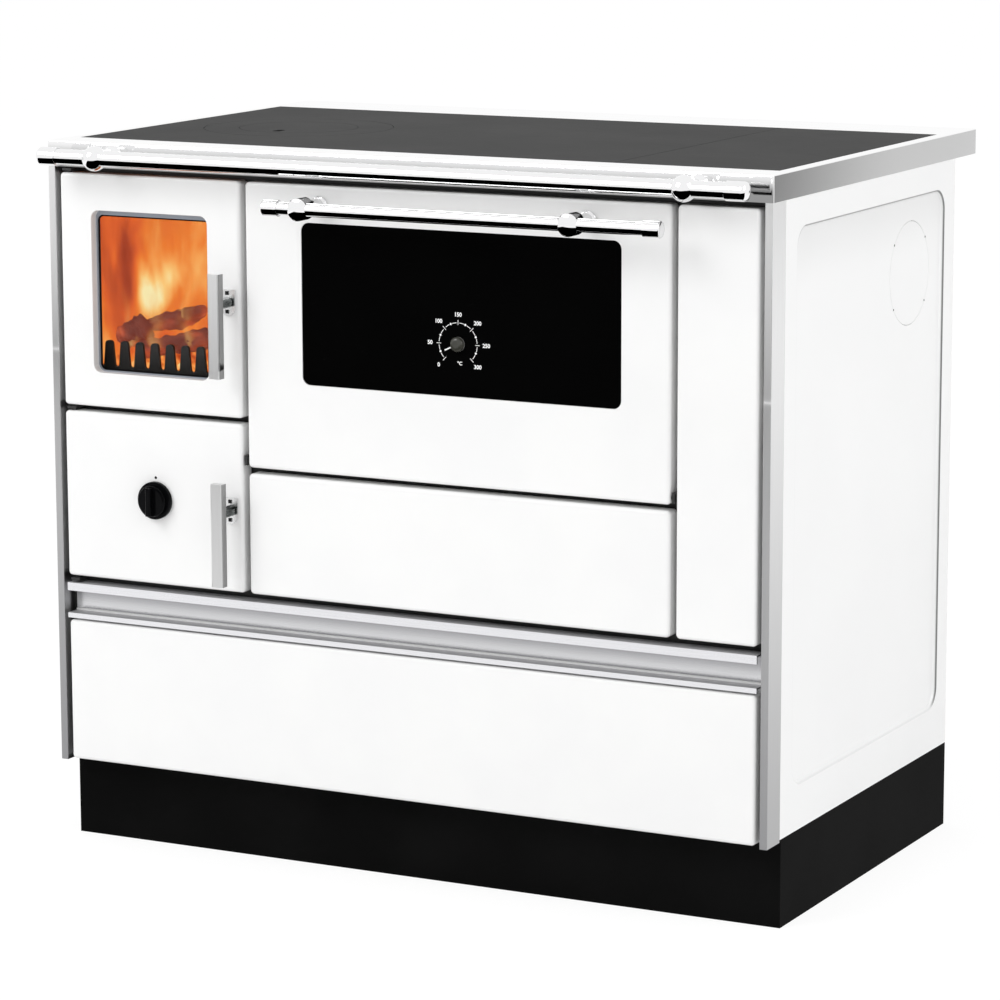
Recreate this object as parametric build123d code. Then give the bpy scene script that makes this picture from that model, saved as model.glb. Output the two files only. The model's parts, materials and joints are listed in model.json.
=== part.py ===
"""Free-standing wood cookstove with an oven, a firebox at the left and a wood drawer underneath.

Millimetres. While a piece is shaped, X = 0 is the middle of the front, Y = 0 is the face of the doors
and +Y goes to the back, Z = 0 is the floor. On export everything moves along Y, so that the origin of
the finished part is the middle of its footprint.
"""
import os
from math import cos, radians, sin

from build123d import *

# ---------------------------------------------------------------- whole stove
body_width = 930.4
hob_height = 850.0
sheet = 1.5
plinth_height = 103.0
plinth_setback = 38.8
plinth_board = 16.0
base_thickness = 2.0

# ---------------------------------------------------------------- corner trims and side panels
trim_face = 9.2
trim_depth = 36.0
trim_wall = 1.6
trim_radius = 0.8
trim_tail = 3.0
side_gap = 6.0
side_flange = 12.0
side_sheet = 1.2
field_front_margin = 32.0
field_back_margin = 32.5
field_top_margin = 33.0
field_bottom_margin = 52.0
field_radius = 26.0
field_depth = 4.0
field_slope = 40.0
knockout_diameter = 122.0
knockout_from_back = 133.1
knockout_gap = 0.5
knockout_tab = 9.0

# ---------------------------------------------------------------- rim and hob
rim_height = 30.0
rim_overhang = 0.6
rim_back_overhang = 68.1
rim_sheet = 2.0
rim_radius = 2.0
rim_collar_depth = 12.0
hob_ledge = 8.0
hob_front = 50.0
hob_side_margin = 14.7
hob_back_margin = 95.3
hob_thickness = 8.0
hob_gap = 1.0
hob_side_width = 200.0
ring_from_side = 169.5
ring_from_front = 222.0
ring_diameter = 230.0
lid_diameter = 144.0
ring_gap = 0.7
ring_step = 9.0
ring_step_depth = 4.0
notch_inset = 14.0
notch_length = 20.0
notch_width = 10.0

# ---------------------------------------------------------------- rails
towel_rail_diameter = 19.0
towel_rail_length = 908.0
towel_rail_reach = 37.0
towel_rail_drop = 14.8
towel_bracket_inset = 77.6
towel_bracket_diameter = 29.6
towel_post_diameter = 17.0
towel_foot_diameter = 26.0
towel_cap_diameter = 22.0
towel_cap_length = 27.0
oven_rail_diameter = 15.5
oven_rail_reach = 46.0
oven_rail_drop = 22.5
oven_rail_left = 51.5
oven_rail_right = 11.5
oven_post_left = 99.9
oven_post_spacing = 341.0
oven_post_diameter = 18.0
oven_post_foot = 22.0
oven_foot_length = 3.0
oven_boss_diameter = 26.0
oven_boss_length = 22.0
oven_boss_edge = 1.2
oven_boss_dome = 1.2
oven_cap_diameter = 19.0
oven_cap_length = 22.0
cap_wall = 3.0
seat_clearance = 0.05

# ---------------------------------------------------------------- doors and covers
door_thickness = 20.0
door_clearance = 4.0
door_wall = 2.0
door_edge_radius = 4.5
door_corner_radius = 5.0
top_gap = 7.0
door_gap = 7.0
column_gap = 7.5
left_door_width = 245.6
right_panel_width = 98.2
ash_door_height = 200.5
cover_height = 143.5
inner_plate = 3.0
gasket_gap = 1.5
gasket_width = 7.0
gasket_thickness = 3.8
peg_diameter = 8.0
peg_inset = 30.0
peg_tail = 6.0
peg_clearance = 0.3

# ---------------------------------------------------------------- front frame
frame_thickness = 3.0
frame_flange = 14.0
frame_flange_wall = 1.0
opening_radius = 6.0
opening_left_inset = 22.0
opening_end_inset = 20.0
ash_opening_low = 11.5
ash_opening_high = 24.0
hatch_opening_side = 80.0
hatch_opening_end = 30.0
hatch_overlap = 12.0
hatch_grip_length = 80.0
hatch_grip_reach = 12.0
hatch_grip_thickness = 2.0
drawer_opening_side = 18.0
drawer_opening_sill = 10.0
drawer_opening_head = 22.5

# ---------------------------------------------------------------- hinges
pin_diameter = 6.0
pin_clearance = 0.05
pin_length = 14.0
bush_wall = 2.5
bush_length = 16.0
hinge_inset = 9.0
hinge_depth = 8.0
bracket_thickness = 3.0
bracket_width = 12.0

# ---------------------------------------------------------------- fire door
window_left = 43.0
window_right = 43.8
window_bottom = 41.4
window_top = 43.0
window_radius = 10.0
window_lip = 11.0
bezel_thickness = 2.0
bezel_flange = 6.0
bezel_inner_side = 1.6
bezel_inner_top = 6.0
fire_glass_thickness = 4.0
glass_overlap = 9.0

# ---------------------------------------------------------------- door latches
spindle_inset = 15.9
spindle_drop = 2.3
spindle_diameter = 10.0
spindle_clearance = 0.05
neck_width = 15.0
neck_chamfer = 2.0
neck_gap = 2.0
slot_clearance = 2.5
slot_margin = 1.7
shell_slot_margin = 1.2
tongue_gap = 1.0
tongue_width = 8.0
tongue_length = 19.0
tongue_thickness = 4.0
handle_width = 15.6
handle_thickness = 10.5
handle_reach = 35.0
handle_above = 36.0
handle_below = 86.0
handle_chamfer = 1.6
latch_plate_width = 20.0
latch_plate_above = 15.0
latch_plate_below = 15.5
latch_plate_thickness = 2.5
latch_plate_radius = 9.0
latch_screw_diameter = 4.0
latch_screw_head = 0.6
latch_screw_spacing = 21.8

# ---------------------------------------------------------------- ash door and air control
knob_left = 126.3
knob_rise = 1.3
knob_diameter = 45.0
knob_flange = 6.0
knob_flange_radius = 2.0
knob_body_diameter = 37.0
knob_body_height = 12.4
knob_body_radius = 2.5
knob_height = 20.0
knob_grip_width = 7.0
knob_grip_length = 34.0
knob_grip_radius = 2.4
knob_gap = 0.5
index_dot_diameter = 2.4
index_dot_depth = 0.5
index_dot_rise = 27.0
air_spindle_diameter = 8.0
air_spindle_tail = 2.0
air_disc_diameter = 92.0
air_disc_thickness = 3.0
air_disc_gap = 0.3
air_port_diameter = 28.0
air_port_radius = 30.0
air_port_count = 3
air_port_start = 90.0

# ---------------------------------------------------------------- oven door and thermometer
oven_window_left = 75.3
oven_window_right = 59.9
oven_window_bottom = 103.3
oven_window_top = 43.5
oven_window_radius = 10.0
oven_glass_gap = 0.4
oven_glass_recess = 0.8
oven_glass_thickness = 4.0
dial_from_left = 277.4
dial_from_bottom = 163.0
gauge_case_diameter = 56.0
gauge_case_depth = 9.0
gauge_stem_diameter = 8.0
gauge_stem_reach = 24.0
needle_length = 18.4
needle_width = 1.6
needle_thickness = 0.6
needle_clearance = 0.4
needle_angle = 204.7
needle_spindle_diameter = 4.0
needle_spindle_depth = 3.0
needle_end_gap = 0.5
dome_diameter = 17.4
dome_height = 6.0
dome_radius = 4.8

# ---------------------------------------------------------------- firebox and ash box
shell_wall = 3.0
shell_gap = 5.2
shell_depth = 473.0
shell_back_gap = 44.2
shell_top_gap = 0.5
floor_plate = 3.0
shell_outlet_length = 170.0
shell_outlet_back_gap = 50.0
shell_outlet_height = 42.0
brick_thickness = 25.0
brick_courses = 2
brick_front_gap = 7.0
brick_joint = 1.0
brick_top_gap = 57.5
grate_thickness = 14.0
grate_gap = 1.0
grate_front_gap = 23.0
grate_back_gap = 2.0
grate_bars = 9
grate_slot = 9.0
grate_frame = 14.0
guard_thickness = 4.0
guard_front_gap = 2.0
guard_side_gap = 3.0
guard_base = 25.0
guard_tooth = 9.6
guard_tooth_height = 31.0
guard_root = 6.4
guard_pitch = 21.1
guard_teeth = 8
guard_offset = -2.6
ash_pan_gap = 3.0
ash_pan_front_gap = 13.0
ash_pan_back_gap = 57.0
ash_pan_height = 60.0
ash_pan_wall = 1.2
ash_handle_width = 70.0
ash_handle_depth = 9.0
ash_handle_bar = 5.0

# ---------------------------------------------------------------- oven box
oven_wall = 2.0
oven_inset_left = 62.0
oven_inset_right = 46.0
oven_inset_bottom = 21.0
oven_inset_top = 38.0
oven_back_gap = 54.5
oven_mouth_step = 2.0
shelf_width = 10.0
shelf_thickness = 3.0
shelf_first = 50.0
shelf_pitch = 60.0
shelf_count = 3
shelf_front_gap = 13.0
rack_side_gap = 3.0
rack_frame_rod = 5.0
rack_wire = 3.0
rack_wires = 21
rack_front_gap = 18.0
rack_rest_gap = 0.1
tray_side_gap = 2.0
tray_lip = 10.0
tray_wall = 1.5
tray_depth = 24.0
tray_front_gap = 18.0

# ---------------------------------------------------------------- smoke path
casing_floor_gap = 120.0
casing_side_gap = 4.5
casing_back_gap = 9.7
flue_box_length = 206.0
flue_box_side_gap = 13.2
flue_box_floor_gap = 5.0
flue_box_top_gap = 8.0
bypass_inset = 50.0
bypass_length = 120.0
bypass_top_gap = 12.0
bypass_height = 80.0
main_port_rise = 20.0
flap_thickness = 2.0
flap_overlap = 5.0
flap_wall_gap = 1.5
flap_rod_diameter = 8.0
flap_rod_offset = 8.0
flap_rod_rise = 3.0
flap_rod_tail = 4.0
flap_knob_diameter = 28.0
flap_knob_length = 24.0
flap_knob_gap = 12.0
collar_diameter = 119.0
collar_wall = 2.0
collar_drop = 153.0
collar_length = 58.0
collar_flange = 15.0
collar_flange_thickness = 3.0

# ---------------------------------------------------------------- wood drawer
drawer_overlap = 1.0
drawer_front_height = 172.0
pull_height = 45.5
pull_gap = 9.0
pull_wall = 2.0
pull_side = 1.0
pull_upper_lip = 9.8
pull_lower_lip = 6.0
pull_lip_gap = 2.5
pull_rib = 2.0
pull_leg = 22.0
drawer_box_side = 35.0
drawer_back_gap = 44.2
drawer_box_floor = 16.0
drawer_box_top = 4.0
drawer_wall = 1.5
runner_height = 30.0
runner_side_gap = 2.5
runner_web = 2.6
runner_front_gap = 3.0
runner_back_gap = 24.2
runner_rise = 93.0
slide_bar_height = 12.0
slide_bar_reach = 12.0
slide_clearance = 0.4
tunnel_top_gap = 6.0

# ---------------------------------------------------------------- lay-out worked out from the sizes
half_width = body_width / 2
trim_inner = half_width - trim_face
front_half = trim_inner - side_gap
panel_inner = half_width - side_flange
rim_bottom = hob_height - rim_height
door_top = rim_bottom - top_gap
drawer_bottom = plinth_height - drawer_overlap
drawer_front_top = drawer_bottom + drawer_front_height
pull_top = drawer_front_top + pull_height
door_bottom = pull_top + pull_gap
floor_top = plinth_height + base_thickness
frame_front = door_thickness + door_clearance
frame_back = frame_front + frame_thickness
shell_y = (frame_back, frame_back + shell_depth)
back_front = shell_y[1] + shell_back_gap
body_depth = back_front + sheet

left_x = (-front_half, -front_half + left_door_width)
right_x = (front_half - right_panel_width, front_half)
oven_x = (left_x[1] + column_gap, right_x[0] - column_gap)
ash_z = (door_bottom, door_bottom + ash_door_height)
fire_z = (ash_z[1] + door_gap, door_top)
cover_z = (door_bottom, door_bottom + cover_height)
oven_z = (cover_z[1] + door_gap, door_top)

spindle_x = left_x[1] - spindle_inset
slot_half = spindle_diameter / 2 + slot_clearance
gasket_reach = gasket_gap + gasket_width
hot_x = (left_x[0] + opening_left_inset, spindle_x - slot_half - slot_margin - gasket_reach)
fire_opening_z = (fire_z[0] + opening_end_inset, fire_z[1] - opening_end_inset)
ash_opening_z = (ash_z[0] + ash_opening_low, ash_z[1] - ash_opening_high)
window_x = (left_x[0] + window_left, left_x[1] - window_right)
window_z = (fire_z[0] + window_bottom, fire_z[1] - window_top)
hinge_x = left_x[0] + hinge_inset
oven_hinge_z = oven_z[0] + hinge_depth

shell_x = (-(panel_inner - shell_gap), spindle_x - slot_half - shell_slot_margin)
hob_underside = hob_height - hob_thickness
shell_top = hob_height - rim_collar_depth - shell_top_gap
shell_z = (ash_opening_z[0] - shell_wall, shell_top)
floor_plate_z = (fire_opening_z[0] - floor_plate, fire_opening_z[0])
brick_height = shell_top - brick_top_gap - floor_plate_z[1]
brick_front = shell_y[1] - shell_wall - brick_thickness
shell_outlet_back = shell_y[1] - shell_outlet_back_gap
shell_outlet_front = shell_outlet_back - shell_outlet_length
ash_pan_y = (shell_y[0] + ash_pan_front_gap, shell_y[1] - shell_wall - ash_pan_back_gap)
chamber_x = (shell_x[0] + shell_wall + brick_thickness, shell_x[1] - shell_wall - brick_thickness)

cavity_x = (oven_x[0] + oven_inset_left, oven_x[1] - oven_inset_right)
cavity_z = (oven_z[0] + oven_inset_bottom, oven_z[1] - oven_inset_top)
casing_y = (frame_back, back_front - casing_back_gap + sheet)
cavity_y = (frame_back, casing_y[1] - sheet - oven_back_gap - oven_wall)
mouth_x = (cavity_x[0] + oven_mouth_step, cavity_x[1] - oven_mouth_step)
mouth_z = (cavity_z[0] + oven_mouth_step, cavity_z[1] - oven_mouth_step)
glass_x = (oven_x[0] + oven_window_left, oven_x[1] - oven_window_right)
glass_z = (oven_z[0] + oven_window_bottom, oven_z[1] - oven_window_top)
dial_x = oven_x[0] + dial_from_left
dial_z = oven_z[0] + dial_from_bottom

casing_x = (shell_x[1], cavity_x[1] + oven_wall + casing_side_gap + sheet)
casing_z = (cavity_z[0] - casing_floor_gap, shell_top)
flue_box_x = (casing_x[1], panel_inner - flue_box_side_gap)
flue_box_y = (casing_y[1] - flue_box_length, casing_y[1])
flue_box_bottom = casing_z[0] + flue_box_floor_gap
flue_box_top = rim_bottom - flue_box_top_gap
main_port_bottom = casing_z[0] + main_port_rise
bypass_bottom = flue_box_top - bypass_top_gap - bypass_height
bypass_y = (flue_box_y[0] + bypass_inset, flue_box_y[0] + bypass_inset + bypass_length)
collar_x = (flue_box_x[0] + flue_box_x[1]) / 2
collar_z = hob_height - collar_drop
knockout_y = body_depth - knockout_from_back
flap_rod_x = casing_x[1] + flap_rod_offset
flap_rod_z = bypass_bottom + bypass_height + flap_rod_rise

hob_x = (-(half_width - hob_side_margin), half_width - hob_side_margin)
rim_back = body_depth + rim_back_overhang
hob_y = (hob_front, rim_back - hob_back_margin)
hob_seam = hob_x[1] - hob_side_width
ring_x = hob_x[0] + ring_from_side
ring_y = hob_y[0] + ring_from_front
towel_z = hob_height - towel_rail_drop
oven_rail_z = oven_z[1] - oven_rail_drop
oven_rail_x = (oven_x[0] + oven_rail_left, oven_x[1] + oven_rail_right)
oven_post_x = (oven_x[0] + oven_post_left, oven_x[0] + oven_post_left + oven_post_spacing)

drawer_half = front_half - drawer_box_side
tunnel_inner = drawer_half + slide_bar_reach + slide_clearance + runner_web
runner_y = (frame_back + runner_front_gap, back_front - runner_back_gap)
runner_z = drawer_bottom + runner_rise
drawer_box_y = (door_thickness + pull_wall, back_front - drawer_back_gap)
drawer_opening_half = front_half - drawer_opening_side
drawer_opening_z = (plinth_height + drawer_opening_sill, door_bottom - drawer_opening_head)

boss_front = -(oven_rail_reach + oven_boss_length - oven_boss_diameter / 2)
front_most = min(
    boss_front,
    -(oven_rail_reach + oven_cap_diameter / 2),
    -(towel_rail_reach + towel_bracket_diameter / 2),
)
origin_y = (rim_back + front_most) / 2


# ---------------------------------------------------------------- shapes used by many pieces
def block(x, y, z):
    """A box between two limits along each axis."""
    size = (x[1] - x[0], y[1] - y[0], z[1] - z[0])
    return Pos(middle(x), middle(y), middle(z)) * Box(*size)


def grown(limits, by):
    """Two limits moved apart by a distance at each end."""
    return (limits[0] - by, limits[1] + by)


def middle(limits):
    return (limits[0] + limits[1]) / 2


def round_x(x, y, z, diameter):
    """A cylinder along X between two limits."""
    bar = Rot(0, 90, 0) * Cylinder(diameter / 2, x[1] - x[0])
    return Pos(middle(x), y, z) * bar


def round_y(x, y, z, diameter):
    """A cylinder along Y between two limits."""
    bar = Rot(90, 0, 0) * Cylinder(diameter / 2, y[1] - y[0])
    return Pos(x, middle(y), z) * bar


def round_z(x, y, z, diameter):
    """A cylinder along Z between two limits."""
    return Pos(x, y, middle(z)) * Cylinder(diameter / 2, z[1] - z[0])


def rounded_block(x, y, z, radius):
    """A box whose four edges along Y are rounded."""
    solid = block(x, y, z)
    return fillet(solid.edges().filter_by(Axis.Y), radius)


def ring_block(x, y, z, width, radius):
    """A flat rectangular ring in the XZ plane, outside the limits by its width."""
    outer = rounded_block(grown(x, width), y, grown(z, width), radius + width)
    inner = rounded_block(x, grown(y, 1), z, radius)
    return outer - inner


def box_shell(x, y, z, wall, open_sides):
    """A hollow box with walls inside its limits; open_sides names the sides left out."""
    inner = []
    for axis, limits in zip("xyz", (x, y, z)):
        low = limits[0] - 1 if "-" + axis in open_sides else limits[0] + wall
        high = limits[1] + 1 if "+" + axis in open_sides else limits[1] - wall
        inner.append((low, high))
    return block(x, y, z) - block(*inner)


def enamel_tray(x, z):
    """A pressed front panel, open at the back, with rounded edges and corners."""
    outer = rounded_block(x, (0, door_thickness), z, door_corner_radius)
    outer = fillet(outer.edges().group_by(Axis.Y)[0], door_edge_radius)
    inner_radius = door_corner_radius - door_wall
    pocket_y = (door_wall, door_thickness + 1)
    pocket = rounded_block(grown(x, -door_wall), pocket_y, grown(z, -door_wall), inner_radius)
    pocket = fillet(pocket.edges().group_by(Axis.Y)[0], door_edge_radius - door_wall)
    return outer - pocket


def back_plate(x, z):
    """The steel plate that closes the back of a tray."""
    y = (door_thickness - inner_plate, door_thickness)
    return rounded_block(grown(x, -door_wall), y, grown(z, -door_wall), door_corner_radius - door_wall)


def gasket(x, z):
    """The flat sealing ring between a door and the front frame, round an opening."""
    ring_y = (door_thickness, door_thickness + gasket_thickness)
    return ring_block(grown(x, gasket_gap), ring_y, grown(z, gasket_gap), gasket_width, gasket_width)


def pegs(x, z, y):
    """Four pegs near the corners of a panel."""
    solid = None
    for peg_x in grown(x, -peg_inset):
        for peg_z in grown(z, -peg_inset):
            peg = round_y(peg_x, y, peg_z, peg_diameter)
            solid = peg if solid is None else solid + peg
    return solid


# ---------------------------------------------------------------- body
def plinth():
    """Four mitre-free boards under the body, set back at the front."""
    side_y = (plinth_setback + plinth_board, body_depth - plinth_board)
    height = (0, plinth_height)
    across = (-half_width, half_width)
    return [
        block(across, (plinth_setback, side_y[0]), height),
        block(across, (side_y[1], body_depth), height),
        block((-half_width, -half_width + plinth_board), side_y, height),
        block((half_width - plinth_board, half_width), side_y, height),
    ]


def base_panel():
    return block((-panel_inner, panel_inner), (frame_back, back_front), (plinth_height, floor_top))


def side_panel():
    """The right side: a flanged sheet with a pressed-in field; the left one is its mirror image."""
    y = (trim_depth, body_depth)
    z = (plinth_height, rim_bottom)
    outer = block((panel_inner, half_width), y, z)
    pocket = block((panel_inner - 1, half_width - side_sheet), grown(y, -side_sheet), grown(z, -side_sheet))
    field_y = (y[0] + field_front_margin, y[1] - field_back_margin)
    field_z = (z[0] + field_bottom_margin, z[1] - field_top_margin)
    plane = Plane(
        origin=(half_width, middle(field_y), middle(field_z)),
        x_dir=(0, 1, 0),
        z_dir=(-1, 0, 0),
    )
    size = (field_y[1] - field_y[0], field_z[1] - field_z[0])
    press = extrude(plane * RectangleRounded(*size, field_radius), field_depth, taper=field_slope)
    inner_outline = plane.offset(side_sheet) * RectangleRounded(*size, field_radius)
    press_inside = extrude(inner_outline, field_depth, taper=field_slope)
    return (outer - pocket) + press_inside - press


def knockout_axis(gap):
    """The round cut of the flue knock-out, through the pressed field."""
    limits = (panel_inner, half_width + 1)
    return round_x(limits, knockout_y, collar_z, knockout_diameter + 2 * gap)


def side_panel_right():
    return side_panel() - knockout_axis(knockout_gap)


def flue_blank():
    """The round plate in the knock-out, with four tabs that lap behind the panel."""
    outside = half_width - field_depth
    inside = outside - side_sheet
    plate = round_x((inside, outside), knockout_y, collar_z, knockout_diameter)
    tab_x = (inside - side_sheet, inside)
    reach = knockout_diameter / 2 + knockout_tab
    for turn in (30, 150, 210, 330):
        tab = block(tab_x, (reach - 3 * knockout_tab, reach), (-knockout_tab / 2, knockout_tab / 2))
        plate += Pos(0, knockout_y, collar_z) * Rot(turn, 0, 0) * tab
    return plate


def corner_trim():
    """The right corner trim, a narrow rectangular tube."""
    x = (trim_inner, half_width)
    z = (plinth_height - trim_tail, rim_bottom)
    tube = block(x, (0, trim_depth), z)
    tube = fillet(tube.edges().filter_by(Axis.Z), trim_radius)
    return tube - block(grown(x, -trim_wall), (trim_wall, trim_depth - trim_wall), grown(z, 1))


def slot_in_frame(spindle_z):
    """The slot that lets a door's spindle and tongue through the front frame."""
    x = (spindle_x - slot_half, spindle_x + slot_half)
    z = (spindle_z - slot_half, spindle_z + tongue_length + slot_clearance)
    return block(x, grown((frame_front, frame_back), 1), z)


def front_frame():
    """The steel face frame behind the doors, with return flanges."""
    y = (frame_front, frame_back)
    cut = grown(y, 1)
    x = (-trim_inner, trim_inner)
    z = (floor_top, rim_bottom)
    frame = block(x, y, z)
    for side in (-1, 1):
        edge = sorted((side * panel_inner, side * (panel_inner - frame_flange_wall)))
        frame += block(edge, (frame_back, frame_back + frame_flange), z)
    frame -= rounded_block(hot_x, cut, fire_opening_z, opening_radius)
    frame -= rounded_block(hot_x, cut, ash_opening_z, opening_radius)
    frame -= rounded_block(mouth_x, cut, mouth_z, opening_radius)
    frame -= block(grown(oven_x, -hatch_opening_side), cut, grown(cover_z, -hatch_opening_end))
    frame -= block((-drawer_opening_half, drawer_opening_half), cut, drawer_opening_z)
    frame -= slot_in_frame(fire_spindle_z)
    frame -= slot_in_frame(ash_spindle_z)
    peg_hole = peg_diameter + 2 * peg_clearance
    for peg_x in grown(oven_x, -peg_inset):
        for peg_z in grown(cover_z, -peg_inset):
            frame -= round_y(peg_x, cut, peg_z, peg_hole)
    return frame


def hinge_brackets():
    """Bracket plates with their pins: three for the left doors, two for the oven door."""
    solids = []
    reach = (hinge_depth - bracket_width / 2, frame_front)
    x = (hinge_x - bracket_width / 2, hinge_x + bracket_width / 2)
    gaps = (
        ((fire_z[1], rim_bottom), (-1,)),
        ((ash_z[1], fire_z[0]), (-1, 1)),
        ((pull_top, ash_z[0]), (1,)),
    )
    for gap, directions in gaps:
        z = (middle(gap) - bracket_thickness / 2, middle(gap) + bracket_thickness / 2)
        plate = block(x, reach, z)
        for direction in directions:
            face = z[1] if direction > 0 else z[0]
            span = sorted((face, face + direction * pin_length))
            plate += round_z(hinge_x, hinge_depth, span, pin_diameter)
        solids.append(plate)
    z = (oven_hinge_z - bracket_width / 2, oven_hinge_z + bracket_width / 2)
    for gap, direction in (((left_x[1], oven_x[0]), 1), ((oven_x[1], right_x[0]), -1)):
        side = (middle(gap) - bracket_thickness / 2, middle(gap) + bracket_thickness / 2)
        plate = block(side, reach, z)
        face = side[1] if direction > 0 else side[0]
        span = sorted((face, face + direction * pin_length))
        plate += round_x(span, hinge_depth, oven_hinge_z, pin_diameter)
        solids.append(plate)
    return solids


def back_panel():
    panel = block((-panel_inner, panel_inner), (back_front, body_depth), (floor_top, rim_bottom))
    cut = grown((back_front, body_depth), 1)
    panel -= round_y(collar_x, cut, collar_z, collar_diameter)
    panel -= round_y(flap_rod_x, cut, flap_rod_z, flap_rod_diameter + 2 * pin_clearance)
    return panel


def top_rim():
    """The polished frame round the hob: a top sheet, an outer skirt and a collar with a ledge."""
    x = grown((-half_width, half_width), rim_overhang)
    y = (0, rim_back)
    z = (rim_bottom, hob_height)
    rim = fillet(block(x, y, z).edges().filter_by(Axis.Z), rim_radius)
    rim = fillet(rim.edges().group_by(Axis.Z)[-1], rim_radius / 2)
    rim -= block(grown(x, -rim_sheet), grown(y, -rim_sheet), (z[0] - 1, z[1] - rim_sheet))
    cut_x = grown(hob_x, hob_gap)
    cut_y = grown(hob_y, hob_gap)
    collar_z_limits = (hob_height - rim_collar_depth, hob_height - rim_sheet)
    rim += block(grown(cut_x, rim_sheet), grown(cut_y, rim_sheet), collar_z_limits)
    rim -= block(cut_x, cut_y, (hob_underside, hob_height + 1))
    rim -= block(grown(cut_x, -hob_ledge), grown(cut_y, -hob_ledge), grown(z, 1))
    rim -= block(cut_x, cut_y, (z[0], hob_underside - rim_sheet))
    return rim


def stepped_disc(diameter, step):
    """A round plate with a wide top step that hangs in the rebate of the plate round it."""
    top = round_z(ring_x, ring_y, (hob_height - ring_step_depth, hob_height), diameter)
    body = round_z(ring_x, ring_y, (hob_underside, hob_height), diameter - 2 * step)
    return top + body


def hob_main():
    plate = block((hob_x[0], hob_seam - hob_gap), hob_y, (hob_underside, hob_height))
    return plate - seat_for(ring_diameter)


def seat_for(diameter):
    """The stepped hole that a stepped disc drops into, with its gap."""
    rebate_z = (hob_height - ring_step_depth, hob_height + 1)
    rebate = round_z(ring_x, ring_y, rebate_z, diameter + 2 * ring_gap)
    through_z = (hob_underside - 1, hob_height + 1)
    through = round_z(ring_x, ring_y, through_z, diameter - 2 * ring_step + 2 * ring_gap)
    return rebate + through


def hob_side():
    return block((hob_seam, hob_x[1]), hob_y, (hob_underside, hob_height))


def hob_ring():
    return stepped_disc(ring_diameter, ring_step) - seat_for(lid_diameter)


def hob_lid():
    """The centre lid, with a keyhole notch for the lifter."""
    lid = stepped_disc(lid_diameter, ring_step)
    notch_x = (ring_x - notch_width / 2, ring_x + notch_width / 2)
    notch_front = ring_y - lid_diameter / 2 + notch_inset
    notch_y = (notch_front, notch_front + notch_length)
    notch = block(notch_x, notch_y, (hob_height - ring_step_depth, hob_height + 1))
    return lid - fillet(notch.edges().filter_by(Axis.Z), notch_width * 0.49)


def towel_rail():
    half = towel_rail_length / 2 - cap_wall
    return round_x((-half, half), -towel_rail_reach, towel_z, towel_rail_diameter)


def end_cap(x_end, inward, y, z, diameter, length, rod_diameter):
    """A cap on a rail's end, with a rounded outer rim and a bore that the rod fills."""
    x = sorted((x_end, x_end + inward * length))
    cap = round_x(x, y, z, diameter)
    outer_face = cap.faces().sort_by(Axis.X)[0 if inward > 0 else -1]
    cap = fillet(outer_face.edges(), diameter / 5)
    bore = sorted((x_end + inward * cap_wall, x_end + inward * (length + 1)))
    return cap - round_x(bore, y, z, rod_diameter + 2 * seat_clearance)


def towel_bracket(x):
    """A ball round the rail, carried by a flared post on the rim's face."""
    ball = Pos(x, -towel_rail_reach, towel_z) * Rot(0, 90, 0) * Sphere(towel_bracket_diameter / 2)
    post = round_y(x, (-towel_rail_reach, 0), towel_z, towel_post_diameter)
    foot = Pos(x, -towel_post_diameter / 4, towel_z) * Rot(90, 0, 0) * Cone(
        towel_foot_diameter / 2, towel_post_diameter / 2, towel_post_diameter / 2
    )
    bore_x = grown((x, x), towel_bracket_diameter)
    bore = round_x(bore_x, -towel_rail_reach, towel_z, towel_rail_diameter + 2 * seat_clearance)
    return ball + post + foot - bore


def towel_rail_fittings():
    end = towel_rail_length / 2
    bracket = end - towel_bracket_inset
    rail = (-towel_rail_reach, towel_z, towel_cap_diameter, towel_cap_length, towel_rail_diameter)
    return [
        towel_bracket(-bracket),
        towel_bracket(bracket),
        end_cap(-end, 1, *rail),
        end_cap(end, -1, *rail),
    ]


def right_panel():
    """The blank panel at the right, held off the frame by four bosses."""
    z = (door_bottom, door_top)
    return enamel_tray(right_x, z) + pegs(right_x, z, (door_wall, frame_front))


def cleaning_cover():
    """The lower cover with the four pegs that hold it in the front frame."""
    return enamel_tray(oven_x, cover_z) + pegs(oven_x, cover_z, (door_wall, frame_back + peg_tail))


def soot_hatch():
    """The plate behind the cover that closes the soot opening."""
    overlap_x = grown(oven_x, hatch_overlap - hatch_opening_side)
    overlap_z = grown(cover_z, hatch_overlap - hatch_opening_end)
    plate = block(overlap_x, (frame_front - sheet, frame_front), overlap_z)
    plate_front = frame_front - sheet
    grip_x = grown((middle(overlap_x), middle(overlap_x)), hatch_grip_length / 2)
    grip_z = (middle(overlap_z) - hatch_grip_thickness, middle(overlap_z))
    return plate + block(grip_x, (plate_front - hatch_grip_reach, plate_front), grip_z)


# ---------------------------------------------------------------- firebox
def firebox_shell():
    """The welded box behind both left doors, with the grate's floor plate between them."""
    shell = box_shell(shell_x, shell_y, shell_z, shell_wall, ("-y", "+z"))
    shell += block(grown(shell_x, -shell_wall), (shell_y[0], shell_y[1] - shell_wall), floor_plate_z)
    hole_y = (grate_y()[0] + grate_frame, grate_y()[1] - grate_frame)
    shell -= block(grown(chamber_x, -grate_frame), hole_y, grown(floor_plate_z, 1))
    outlet_z = (shell_top - shell_outlet_height, shell_top + 1)
    outlet_x = (shell_x[1] - shell_wall - 1, shell_x[1] + 1)
    return shell - block(outlet_x, (shell_outlet_front, shell_outlet_back), outlet_z)


def grate_y():
    start = shell_y[0] + grate_front_gap
    return (start, brick_front - grate_back_gap)


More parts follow.
